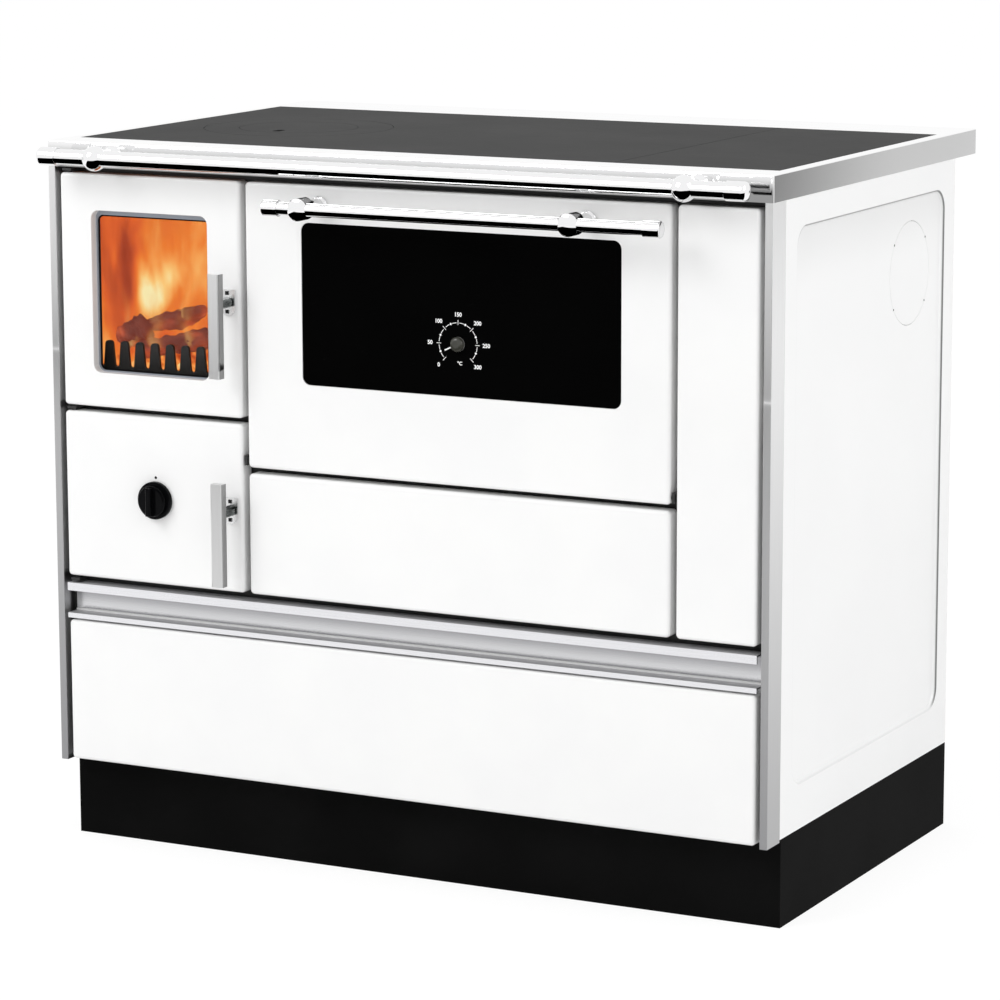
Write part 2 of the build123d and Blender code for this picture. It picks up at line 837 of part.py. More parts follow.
def firebricks():
    """Two courses of bricks at the left, right and back of the fire."""
    course = brick_height / brick_courses - brick_joint
    back_edge = shell_y[1] - shell_wall
    side_y = (shell_y[0] + brick_front_gap, back_edge)
    solids = []
    for level in range(brick_courses):
        low = floor_plate_z[1] + level * (course + brick_joint)
        z = (low, low + course)
        solids.append(block((shell_x[0] + shell_wall, chamber_x[0]), side_y, z))
        solids.append(block((chamber_x[1], shell_x[1] - shell_wall), side_y, z))
        back_x = grown(chamber_x, -brick_joint)
        solids.append(block(back_x, (brick_front, back_edge), z))
    return solids


def grate():
    """The cast grate, two rows of long slots."""
    x = grown(chamber_x, -grate_gap)
    y = grate_y()
    z = (floor_plate_z[1], floor_plate_z[1] + grate_thickness)
    plate = block(x, y, z)
    slot_span = grown(x, -grate_frame)
    pitch = (slot_span[1] - slot_span[0]) / grate_bars
    front_row = (y[0] + grate_frame, middle(y) - grate_frame / 2)
    back_row = (middle(y) + grate_frame / 2, y[1] - grate_frame)
    for number in range(grate_bars):
        slot_x = slot_span[0] + pitch * (number + 0.5)
        for row in (front_row, back_row):
            plate -= block((slot_x - grate_slot / 2, slot_x + grate_slot / 2), row, grown(z, 1))
    return plate


def comb_gap(x, y, root, top):
    """The gap between two teeth: a round root that widens evenly to the tips."""
    low = guard_root / 2
    high = (guard_pitch - guard_tooth) / 2
    outline = Polygon((x - low, root), (x + low, root), (x + high, top), (x - high, top), align=None)
    wedge = Pos(0, y[1], 0) * extrude(Plane.XZ * outline, y[1] - y[0])
    return wedge + round_y(x, y, root, guard_root)


def log_guard():
    """The comb that keeps logs off the door, with rounded teeth that flare to their roots."""
    centre = middle(window_x) + guard_offset
    y = (shell_y[0] + guard_front_gap, shell_y[0] + guard_front_gap + guard_thickness)
    base_z = (floor_plate_z[1], floor_plate_z[1] + guard_base + guard_tooth_height)
    x = grown(hot_x, -guard_side_gap)
    guard = block(x, y, base_z)
    root = base_z[0] + guard_base + guard_root / 2
    gaps_x = [centre + guard_pitch * (number - guard_teeth / 2) for number in range(guard_teeth + 1)]
    for gap_x in gaps_x:
        guard -= comb_gap(gap_x, grown(y, 1), root, base_z[1])
    shoulder_z = (base_z[0] + guard_base, base_z[1] + 1)
    guard -= block((x[0] - guard_pitch, gaps_x[0]), grown(y, 1), shoulder_z)
    guard -= block((gaps_x[-1], x[1] + guard_pitch), grown(y, 1), shoulder_z)
    tips = guard.faces().group_by(Axis.Z)[-1].edges().filter_by(Axis.Y)
    return fillet(tips, guard_tooth * 0.45)


def ash_pan():
    """The open ash pan, welded from five sheets, and the bow handle at its front."""
    x = grown(hot_x, -ash_pan_gap)
    front = ash_pan_y[0]
    z = (shell_z[0] + shell_wall, shell_z[0] + shell_wall + ash_pan_height)
    wall_z = (z[0] + ash_pan_wall, z[1])
    end_x = grown(x, -ash_pan_wall)
    sheets = [
        block(x, ash_pan_y, (z[0], wall_z[0])),
        block((x[0], end_x[0]), ash_pan_y, wall_z),
        block((end_x[1], x[1]), ash_pan_y, wall_z),
        block(end_x, (ash_pan_y[0], ash_pan_y[0] + ash_pan_wall), wall_z),
        block(end_x, (ash_pan_y[1] - ash_pan_wall, ash_pan_y[1]), wall_z),
    ]
    bow_x = grown((middle(x), middle(x)), ash_handle_width / 2)
    bow_y = (front - ash_handle_depth, front)
    bow_z = grown((middle(z), middle(z)), ash_handle_bar / 2)
    bow = block(bow_x, bow_y, bow_z)
    finger_y = (bow_y[0] + ash_handle_bar / 2, front + 1)
    bow -= block(grown(bow_x, -ash_handle_bar), finger_y, grown(bow_z, 1))
    return sheets + [bow]


# ---------------------------------------------------------------- oven
def shelf_z(level):
    return cavity_z[0] + shelf_first + level * shelf_pitch


def shelf_y():
    return (cavity_y[0] + shelf_front_gap, cavity_y[1] - shelf_front_gap)


def oven_box():
    """The oven's liner with its shelf ledges."""
    x = grown(cavity_x, oven_wall)
    z = grown(cavity_z, oven_wall)
    liner = box_shell(x, (cavity_y[0], cavity_y[1] + oven_wall), z, oven_wall, ("-y",))
    for level in range(shelf_count):
        top = shelf_z(level)
        for wall_x in ((cavity_x[0], cavity_x[0] + shelf_width), (cavity_x[1] - shelf_width, cavity_x[1])):
            liner += block(wall_x, shelf_y(), (top - shelf_thickness, top))
    return liner


def baking_tray():
    """The enamel tray, hung by its lip on the lowest ledges."""
    x = grown(cavity_x, -tray_side_gap)
    y = (cavity_y[0] + tray_front_gap, cavity_y[1] - tray_front_gap)
    top = shelf_z(0) + tray_wall
    lip = block(x, y, (top - tray_wall, top))
    body_x = grown(x, -(tray_lip + 1))
    body_y = grown(y, -tray_lip)
    tray = lip + block(body_x, body_y, (top - tray_depth, top))
    inside_z = (top - tray_depth + tray_wall, top + 1)
    return tray - block(grown(body_x, -tray_wall), grown(body_y, -tray_wall), inside_z)


def oven_rack():
    """The wire rack on the middle ledges."""
    x = grown(cavity_x, -(rack_side_gap + rack_frame_rod / 2))
    y = (cavity_y[0] + rack_front_gap, cavity_y[1] - rack_front_gap)
    z = shelf_z(1) + rack_frame_rod / 2 + rack_rest_gap
    rack = round_x(x, y[0], z, rack_frame_rod) + round_x(x, y[1], z, rack_frame_rod)
    for side in x:
        rack += round_y(side, y, z, rack_frame_rod)
        for end in y:
            rack += Pos(side, end, z) * Sphere(rack_frame_rod / 2)
    pitch = (x[1] - x[0]) / (rack_wires + 1)
    for number in range(rack_wires):
        rack += round_y(x[0] + pitch * (number + 1), y, z, rack_wire)
    return rack


# ---------------------------------------------------------------- smoke path
def smoke_casing():
    """The sheet box round the oven that the smoke passes through."""
    casing = block((casing_x[0], casing_x[1]), casing_y, (casing_z[0], casing_z[0] + sheet))
    casing += block(casing_x, (casing_y[1] - sheet, casing_y[1]), casing_z)
    wall_x = (casing_x[1] - sheet, casing_x[1])
    casing += block(wall_x, casing_y, casing_z)
    cut_x = grown(wall_x, 1)
    casing -= block(cut_x, bypass_y, (bypass_bottom, bypass_bottom + bypass_height))
    return casing - block(cut_x, bypass_y, (main_port_bottom, main_port_bottom + bypass_height))


def flue_box():
    """The chamber beside the oven that leads to the flue collar."""
    z = (flue_box_bottom, flue_box_top)
    box = box_shell(flue_box_x, flue_box_y, z, sheet, ("-x",))
    cut_back = grown((flue_box_y[1] - sheet, flue_box_y[1]), 1)
    box -= round_y(collar_x, cut_back, collar_z, collar_diameter)
    rod_hole = flap_rod_diameter + 2 * pin_clearance
    return box - round_y(flap_rod_x, grown(flue_box_y, 1), flap_rod_z, rod_hole)


def flue_collar():
    """The round spigot at the back that a stove pipe slides over."""
    tube_y = (flue_box_y[1] - sheet, body_depth + collar_length)
    tube = round_y(collar_x, tube_y, collar_z, collar_diameter)
    flange_y = (body_depth, body_depth + collar_flange_thickness)
    tube += round_y(collar_x, flange_y, collar_z, collar_diameter + 2 * collar_flange)
    return tube - round_y(collar_x, grown(tube_y, 1), collar_z, collar_diameter - 2 * collar_wall)


def bypass_flap():
    """The start-up flap: a plate hung from a rod that reaches out of the back, with its knob."""
    rod_y = (flue_box_y[0] - flap_rod_tail, body_depth + flap_knob_gap + flap_knob_length / 2)
    rod = round_y(flap_rod_x, rod_y, flap_rod_z, flap_rod_diameter)
    plate_x = (casing_x[1] + flap_wall_gap, casing_x[1] + flap_wall_gap + flap_thickness)
    plate_y = grown(bypass_y, flap_overlap)
    plate = block(plate_x, plate_y, (bypass_bottom - flap_overlap, flap_rod_z))
    web_x = (plate_x[0], flap_rod_x)
    web = block(web_x, plate_y, (flap_rod_z - flap_thickness, flap_rod_z))
    knob_y = (body_depth + flap_knob_gap, body_depth + flap_knob_gap + flap_knob_length)
    knob = round_y(flap_rod_x, knob_y, flap_rod_z, flap_knob_diameter)
    knob = fillet(knob.edges().filter_by(GeomType.CIRCLE), flap_knob_diameter / 8)
    return rod + plate + web + knob


# ---------------------------------------------------------------- latches, shared by the left doors
def spindle_height(door_z):
    return middle(door_z) - spindle_drop


fire_spindle_z = spindle_height(fire_z)
ash_spindle_z = spindle_height(ash_z)


def handle_bar(spindle_z):
    """The flat aluminium bar with lightly broken edges."""
    x = (spindle_x - handle_width / 2, spindle_x + handle_width / 2)
    y = (-handle_reach, -handle_reach + handle_thickness)
    bar = block(x, y, (spindle_z - handle_below, spindle_z + handle_above))
    front = bar.edges().filter_by(Axis.Z).group_by(Axis.Y)[0]
    return chamfer(front, handle_chamfer)


def latch_spindle(spindle_z):
    """The spindle through the door with the tongue behind the front frame."""
    start = -handle_reach + handle_thickness
    tongue_y = (frame_back + tongue_gap, frame_back + tongue_gap + tongue_thickness)
    spindle = round_y(spindle_x, (start, tongue_y[1]), spindle_z, spindle_diameter)
    neck_x = (spindle_x - neck_width / 2, spindle_x + neck_width / 2)
    neck_z = (spindle_z - spindle_diameter / 2, spindle_z + spindle_diameter / 2)
    neck = block(neck_x, (start, -latch_plate_thickness - neck_gap), neck_z)
    neck = chamfer(neck.edges().filter_by(Axis.Y), neck_chamfer)
    tongue_x = (spindle_x - tongue_width / 2, spindle_x + tongue_width / 2)
    tongue = block(tongue_x, tongue_y, (spindle_z, spindle_z + tongue_length))
    return spindle + neck + tongue


def latch_plate(spindle_z):
    """The escutcheon on the door with its two screws as separate solids."""
    y = (-latch_plate_thickness, 0)
    x = (spindle_x - latch_plate_width / 2, spindle_x + latch_plate_width / 2)
    z = (spindle_z - latch_plate_below, spindle_z + latch_plate_above)
    plate = block(x, y, z)
    low = plate.edges().filter_by(Axis.Y).group_by(Axis.Z)[0]
    plate = fillet(low, latch_plate_radius)
    plate -= round_y(spindle_x, grown(y, 1), spindle_z, spindle_diameter + 2 * spindle_clearance)
    screws = []
    for direction in (-1, 1):
        screw_z = spindle_z + direction * latch_screw_spacing / 2
        plate -= round_y(spindle_x, grown(y, 1), screw_z, latch_screw_diameter)
        screw_y = (-latch_plate_thickness - latch_screw_head, 0)
        screws.append(round_y(spindle_x, screw_y, screw_z, latch_screw_diameter))
    return [plate] + screws


def hinge_bores(tray, door_z):
    """Adds the two bushes of a left door at its hinge line and bores them."""
    upper = (door_z[1] - bush_length, door_z[1] - door_wall / 2)
    lower = (door_z[0] + door_wall / 2, door_z[0] + bush_length)
    spans = (upper, lower)
    for span in spans:
        tray += round_z(hinge_x, hinge_depth, span, pin_diameter + 2 * bush_wall)
    for span in spans:
        bore = pin_diameter + 2 * pin_clearance
        tray -= round_z(hinge_x, hinge_depth, grown(span, 2), bore)
    return tray


def spindle_bore(y, spindle_z):
    return round_y(spindle_x, grown(y, 1), spindle_z, spindle_diameter + 2 * spindle_clearance)


# ---------------------------------------------------------------- fire door
def fire_door_panel():
    """The enamel panel with its window, the lip round it and the hinge bushes."""
    tray = enamel_tray(left_x, fire_z)
    lip_y = (door_wall / 2, window_lip)
    lip_radius = window_radius + door_wall
    tray += rounded_block(grown(window_x, door_wall), lip_y, grown(window_z, door_wall), lip_radius)
    tray -= rounded_block(window_x, (-1, window_lip + 1), window_z, window_radius)
    rim = [edge for edge in tray.faces().group_by(Axis.Y)[0].edges() if near_window(edge)]
    tray = fillet(rim, door_wall * 0.45)
    tray = hinge_bores(tray, fire_z)
    return tray - spindle_bore((0, door_wall), fire_spindle_z)


def near_window(edge):
    """True for an edge of the front face that lies on the window's outline."""
    point = edge.center()
    inside_x = window_x[0] - 1 < point.X < window_x[1] + 1
    return inside_x and window_z[0] - 1 < point.Z < window_z[1] + 1


def bezel_limits():
    return (
        (window_x[0] + bezel_inner_side, window_x[1] - bezel_inner_side),
        (window_z[0] + bezel_inner_side, window_z[1] - bezel_inner_top),
    )


def fire_door_bezel():
    """The grey frame that shows round the glass inside the window."""
    y = (window_lip, window_lip + bezel_thickness)
    outer = rounded_block(grown(window_x, bezel_flange), y, grown(window_z, bezel_flange), window_radius)
    inner_x, inner_z = bezel_limits()
    return outer - rounded_block(inner_x, grown(y, 1), inner_z, window_radius * 0.8)


def fire_glass_y():
    front = window_lip + bezel_thickness
    return (front, front + fire_glass_thickness)


def fire_door_glass():
    x = grown(window_x, glass_overlap)
    z = grown(window_z, glass_overlap)
    return rounded_block(x, fire_glass_y(), z, window_radius)


def fire_door_frame():
    """The inner plate that clamps the glass and carries the seal."""
    plate = back_plate(left_x, fire_z)
    plate -= rounded_block(window_x, (0, door_thickness + 1), window_z, window_radius)
    return plate - spindle_bore((0, door_thickness), fire_spindle_z)


# ---------------------------------------------------------------- ash door and air control
def knob_centre():
    return (left_x[0] + knob_left, middle(ash_z) + knob_rise)


def ash_door_panel():
    """The enamel panel with its hinge bushes, the hole of the air spindle and the index dot."""
    tray = hinge_bores(enamel_tray(left_x, ash_z), ash_z)
    x, z = knob_centre()
    tray -= round_y(x, (-1, door_wall + 1), z, air_spindle_diameter + 2 * spindle_clearance)
    tray -= round_y(x, (-1, index_dot_depth), z + index_dot_rise, index_dot_diameter)
    return tray - spindle_bore((0, door_wall), ash_spindle_z)


def air_ports(y):
    """The round ports, evenly spaced about the air spindle."""
    x, z = knob_centre()
    ports = None
    for number in range(air_port_count):
        angle = radians(air_port_start + 360 / air_port_count * number)
        port_x = x + air_port_radius * cos(angle)
        port_z = z + air_port_radius * sin(angle)
        port = round_y(port_x, y, port_z, air_port_diameter)
        ports = port if ports is None else ports + port
    return ports


def ash_door_frame():
    """The inner plate with the air ports."""
    x, z = knob_centre()
    plate = back_plate(left_x, ash_z)
    plate -= air_ports((0, door_thickness + 1))
    plate -= round_y(x, (0, door_thickness + 1), z, air_spindle_diameter + 2 * spindle_clearance)
    return plate - spindle_bore((0, door_thickness), ash_spindle_z)


def air_disc():
    """The rotary shutter on its spindle, in front of the inner plate."""
    x, z = knob_centre()
    back = door_thickness - inner_plate - air_disc_gap
    y = (back - air_disc_thickness, back)
    disc = round_y(x, y, z, air_disc_diameter) - air_ports(grown(y, 1))
    return disc + round_y(x, (-knob_gap, door_thickness + air_spindle_tail), z, air_spindle_diameter)


def air_knob():
    """The round knob: a flange, a raised body and a ridge to grip."""
    x, z = knob_centre()
    back = -knob_gap
    flange = round_y(x, (back - knob_flange, back), z, knob_diameter)
    flange = fillet(flange.edges().group_by(Axis.Y)[0], knob_flange_radius)
    body = round_y(x, (back - knob_body_height, back), z, knob_body_diameter)
    body = fillet(body.edges().group_by(Axis.Y)[0], knob_body_radius)
    grip_x = grown((x, x), knob_grip_width / 2)
    grip_z = grown((z, z), knob_grip_length / 2)
    grip = block(grip_x, (back - knob_height, back), grip_z)
    grip = fillet(grip.edges().group_by(Axis.Y)[0], knob_grip_radius)
    return flange + body + grip


# ---------------------------------------------------------------- oven door
def oven_door_panel():
    """The enamel panel with the opening of the black glass and the side hinge bushes."""
    tray = enamel_tray(oven_x, oven_z)
    lip_y = (door_wall / 2, oven_glass_recess + oven_glass_thickness)
    opening_x = grown(glass_x, oven_glass_gap)
    opening_z = grown(glass_z, oven_glass_gap)
    radius = oven_window_radius
    tray += rounded_block(grown(opening_x, door_wall), lip_y, grown(opening_z, door_wall), radius + door_wall)
    tray -= rounded_block(opening_x, (-1, lip_y[1] + 1), opening_z, radius)
    spans = (
        (oven_x[0] + door_wall / 2, oven_x[0] + bush_length),
        (oven_x[1] - bush_length, oven_x[1] - door_wall / 2),
    )
    for span in spans:
        tray += round_x(span, hinge_depth, oven_hinge_z, pin_diameter + 2 * bush_wall)
    for span in spans:
        tray -= round_x(grown(span, 2), hinge_depth, oven_hinge_z, pin_diameter + 2 * pin_clearance)
    return tray


def oven_door_glass():
    """The black glass, bored for the thermometer's spindle."""
    y = (oven_glass_recess, oven_glass_recess + oven_glass_thickness)
    glass = rounded_block(glass_x, y, glass_z, oven_window_radius - oven_glass_gap)
    bore = needle_spindle_diameter + 2 * spindle_clearance
    return glass - round_y(dial_x, grown(y, 1), dial_z, bore)


def oven_door_frame():
    """The steel plate on the oven's side, bored for the thermometer's stem."""
    plate = back_plate(oven_x, oven_z)
    stem = gauge_stem_diameter + 2 * spindle_clearance
    return plate - round_y(dial_x, (0, door_thickness + 1), dial_z, stem)


def thermometer_body():
    """The gauge case behind the glass with the probe that reaches into the oven."""
    front = oven_glass_recess + oven_glass_thickness
    case_y = (front, front + gauge_case_depth)
    body = round_y(dial_x, case_y, dial_z, gauge_case_diameter)
    body += round_y(dial_x, (case_y[1], frame_back + gauge_stem_reach), dial_z, gauge_stem_diameter)
    socket = (front - 1, front + needle_spindle_depth + needle_end_gap)
    return body - round_y(dial_x, socket, dial_z, needle_spindle_diameter + 2 * spindle_clearance)


def thermometer_needle():
    """The pointer under its domed cap, on the spindle through the glass."""
    front = oven_glass_recess - needle_clearance
    spindle_end = oven_glass_recess + oven_glass_thickness + needle_spindle_depth
    needle_y = (front - needle_thickness, front)
    spindle = round_y(dial_x, (front, spindle_end), dial_z, needle_spindle_diameter)
    blade = block((0, needle_length), needle_y, (-needle_width / 2, needle_width / 2))
    blade = Pos(dial_x, 0, dial_z) * Rot(0, -needle_angle, 0) * blade
    base = needle_y[0]
    dome = round_y(dial_x, (base - dome_height, base + needle_thickness), dial_z, dome_diameter)
    dome = fillet(dome.edges().group_by(Axis.Y)[0], dome_radius)
    return spindle + blade + dome


def oven_rail():
    x = grown(oven_rail_x, -cap_wall)
    return round_x(x, -oven_rail_reach, oven_rail_z, oven_rail_diameter)


def domed_bar():
    """The boss on the oven rail: a short round bar with a slightly domed face and a broken edge."""
    radius = oven_boss_diameter / 2
    face = radius - oven_boss_edge
    dome_radius = (face**2 + oven_boss_dome**2) / (2 * oven_boss_dome)
    half_way = dome_radius - (dome_radius**2 - face**2 / 4) ** 0.5
    arc = ThreePointArc((0, 0), (face / 2, half_way), (face, oven_boss_dome))
    edge = Polyline(
        (face, oven_boss_dome),
        (radius, oven_boss_dome + oven_boss_edge),
        (radius, oven_boss_length),
        (0, oven_boss_length),
        (0, 0),
    )
    return revolve(make_face(arc + edge), Axis.Y)


def oven_post(x):
    """A post with a wide foot on the door and a disc-faced boss round the rail."""
    boss_y = (boss_front, boss_front + oven_boss_length)
    boss = Pos(x, boss_front, oven_rail_z) * domed_bar()
    post = round_y(x, (boss_y[1] - 1, 0), oven_rail_z, oven_post_diameter)
    foot = round_y(x, (-oven_foot_length, 0), oven_rail_z, oven_post_foot)
    bore_x = grown((x, x), oven_boss_diameter)
    bore_diameter = oven_rail_diameter + 2 * seat_clearance
    return boss + post + foot - round_x(bore_x, -oven_rail_reach, oven_rail_z, bore_diameter)


def oven_rail_fittings():
    rail = (-oven_rail_reach, oven_rail_z, oven_cap_diameter, oven_cap_length, oven_rail_diameter)
    return [
        oven_post(oven_post_x[0]),
        oven_post(oven_post_x[1]),
        end_cap(oven_rail_x[0], 1, *rail),
        end_cap(oven_rail_x[1], -1, *rail),
    ]


# ---------------------------------------------------------------- wood drawer
def drawer_front():
    return enamel_tray((-front_half, front_half), (drawer_bottom, drawer_front_top))


def drawer_pull():
    """The aluminium pull profile: an upper lip, a finger recess and a ledge with a lower lip."""
    x = grown((-front_half, front_half), pull_side)
    depth = door_thickness
    wall = pull_wall
    ledge = drawer_front_top + pull_lip_gap + pull_lower_lip
    top = pull_top
    back = depth + wall
    profile = block(x, (depth, back), (drawer_front_top - pull_leg, top))
    profile += block(x, (0, depth), (top - wall, top))
    profile += block(x, (0, wall), (top - pull_upper_lip, top))
    profile += block(x, (0, depth), (ledge - wall, ledge))
    profile += block(x, (0, wall), (ledge - pull_lower_lip, ledge))
    return profile + block(x, (depth - wall, depth), (ledge, ledge + pull_rib))


def drawer_box():
    """The open box with a slide bar on each side."""
    x = (-drawer_half, drawer_half)
    z = (plinth_height + drawer_box_floor, drawer_front_top - drawer_box_top)
    box = box_shell(x, drawer_box_y, z, drawer_wall, ("+z",))
    for side in (-1, 1):
        bar_x = sorted((side * drawer_half, side * (drawer_half + slide_bar_reach)))
        bar_z = (runner_z - slide_bar_height / 2, runner_z + slide_bar_height / 2)
        box += block(bar_x, (runner_y[0], drawer_box_y[1]), bar_z)
    return box


def drawer_runners():
    """The two channels that carry the drawer's slide bars."""
    solids = []
    z = (runner_z - runner_height / 2, runner_z + runner_height / 2)
    slot_z = grown((runner_z, runner_z), slide_bar_height / 2 + slide_clearance)
    for side in (-1, 1):
        near = drawer_half + runner_side_gap
        channel = block(sorted((side * near, side * tunnel_inner)), runner_y, z)
        slot_end = drawer_half + slide_bar_reach + slide_clearance
        channel -= block(sorted((side * (near - 1), side * slot_end)), grown(runner_y, 1), slot_z)
        solids.append(channel)
    return solids


def drawer_tunnel():
    """The sheet housing over the drawer that keeps the firebox's heat off the wood."""
    x = grown((-tunnel_inner, tunnel_inner), sheet)
    z = (floor_top, drawer_opening_z[1] + tunnel_top_gap + sheet)
    return box_shell(x, (frame_back, back_front), z, sheet, ("-y", "-z", "+y"))


# ---------------------------------------------------------------- all pieces by name
pieces = {
    "plinth": plinth(),
    "base_panel": base_panel(),
    "side_panel_left": mirror(side_panel(), about=Plane.YZ),
    "side_panel_right": side_panel_right(),
    "flue_blank": flue_blank(),
    "corner_trims": [mirror(corner_trim(), about=Plane.YZ), corner_trim()],
    "front_frame": front_frame(),
    "hinge_brackets": hinge_brackets(),
    "back_panel": back_panel(),
    "top_rim": top_rim(),
    "hob_main": hob_main(),
    "hob_side": hob_side(),
    "hob_ring": hob_ring(),
    "hob_lid": hob_lid(),
    "towel_rail": towel_rail(),
    "towel_rail_fittings": towel_rail_fittings(),
    "right_panel": right_panel(),
    "cleaning_cover": cleaning_cover(),
    "soot_hatch": soot_hatch(),
    "firebox_shell": firebox_shell(),
    "firebricks": firebricks(),
    "grate": grate(),
    "log_guard": log_guard(),
    "ash_pan": ash_pan(),
    "oven_box": oven_box(),
    "baking_tray": baking_tray(),
    "oven_rack": oven_rack(),
    "smoke_casing": smoke_casing(),
    "flue_box": flue_box(),
    "flue_collar": flue_collar(),
    "bypass_flap": bypass_flap(),
    "fire_door_panel": fire_door_panel(),
    "fire_door_bezel": fire_door_bezel(),
    "fire_door_glass": fire_door_glass(),
    "fire_door_frame": fire_door_frame(),
    "fire_door_gasket": gasket(hot_x, fire_opening_z),
    "fire_latch_plate": latch_plate(fire_spindle_z),
    "fire_handle_bar": handle_bar(fire_spindle_z),
    "fire_latch_spindle": latch_spindle(fire_spindle_z),
    "ash_door_panel": ash_door_panel(),
    "ash_door_frame": ash_door_frame(),
    "ash_door_gasket": gasket(hot_x, ash_opening_z),
    "ash_latch_plate": latch_plate(ash_spindle_z),
    "ash_handle_bar": handle_bar(ash_spindle_z),
    "ash_latch_spindle": latch_spindle(ash_spindle_z),
    "air_knob": air_knob(),
    "air_disc": air_disc(),
    "oven_door_panel": oven_door_panel(),
    "oven_door_glass": oven_door_glass(),
    "oven_door_frame": oven_door_frame(),
    "oven_door_gasket": gasket(mouth_x, mouth_z),
    "oven_rail": oven_rail(),
    "oven_rail_fittings": oven_rail_fittings(),
    "thermometer_body": thermometer_body(),
    "thermometer_needle": thermometer_needle(),
    "drawer_front": drawer_front(),
    "drawer_pull": drawer_pull(),
    "drawer_box": drawer_box(),
    "drawer_runners": drawer_runners(),
    "drawer_tunnel": drawer_tunnel(),
}

os.makedirs("parts", exist_ok=True)
to_origin = Pos(0, -origin_y, 0)
for name, solid in pieces.items():
    solids = solid if isinstance(solid, list) else [solid]
    placed = [to_origin * one for one in solids]
    shape = placed[0] if len(placed) == 1 else Compound(children=placed)
    export_step(shape, f"parts/{name}.step")
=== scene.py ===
"""Looks of the wood cookstove: finishes, fire, dial, seals, prints, rails, screws, studio and camera."""
import json

import bmesh
import bpy
import numpy as np
from mathutils import Matrix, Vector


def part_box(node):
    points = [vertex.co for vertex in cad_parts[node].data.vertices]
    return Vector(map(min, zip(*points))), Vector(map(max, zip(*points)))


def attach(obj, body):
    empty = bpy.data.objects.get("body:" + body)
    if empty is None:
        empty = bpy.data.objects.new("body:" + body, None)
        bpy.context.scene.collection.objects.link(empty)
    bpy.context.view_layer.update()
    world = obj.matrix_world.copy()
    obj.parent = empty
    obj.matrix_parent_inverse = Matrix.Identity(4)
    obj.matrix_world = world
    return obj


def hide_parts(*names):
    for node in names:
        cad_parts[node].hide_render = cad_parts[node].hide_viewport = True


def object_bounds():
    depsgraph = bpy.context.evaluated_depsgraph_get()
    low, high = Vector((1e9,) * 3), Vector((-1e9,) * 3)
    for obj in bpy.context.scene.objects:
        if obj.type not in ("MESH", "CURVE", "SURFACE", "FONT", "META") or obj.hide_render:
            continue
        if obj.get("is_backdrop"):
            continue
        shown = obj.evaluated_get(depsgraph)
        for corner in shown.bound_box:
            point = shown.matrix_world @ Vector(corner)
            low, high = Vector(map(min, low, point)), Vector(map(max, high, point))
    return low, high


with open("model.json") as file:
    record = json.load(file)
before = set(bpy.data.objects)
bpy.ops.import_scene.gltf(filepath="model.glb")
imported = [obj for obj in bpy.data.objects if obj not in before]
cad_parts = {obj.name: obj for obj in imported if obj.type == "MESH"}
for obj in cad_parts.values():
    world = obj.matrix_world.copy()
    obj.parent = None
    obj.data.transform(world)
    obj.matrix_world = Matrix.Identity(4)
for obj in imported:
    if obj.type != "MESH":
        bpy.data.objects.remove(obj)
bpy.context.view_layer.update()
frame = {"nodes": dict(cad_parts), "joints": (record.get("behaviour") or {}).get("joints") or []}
nodes = frame["nodes"]
mm = 0.001
joint_place = {joint["name"]: joint.get("pos_m") for joint in frame["joints"]}
dial_middle = joint_place["thermometer_needle_turn"]
door_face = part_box("fire_door_panel")[0].y
pull_low, pull_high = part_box("drawer_pull")
rim_low, rim_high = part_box("top_rim")
handle_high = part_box("fire_handle_bar")[1]
side_low, side_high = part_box("side_panel_right")
field_low = (side_low.y + 32 * mm, side_low.z + 52 * mm)
field_high = (side_high.y - 32.5 * mm, side_high.z - 33 * mm)
field_middle = [(low + high) / 2 for low, high in zip(field_low, field_high)]
field_half = [(high - low) / 2 for low, high in zip(field_low, field_high)]
field_radius = 26 * mm


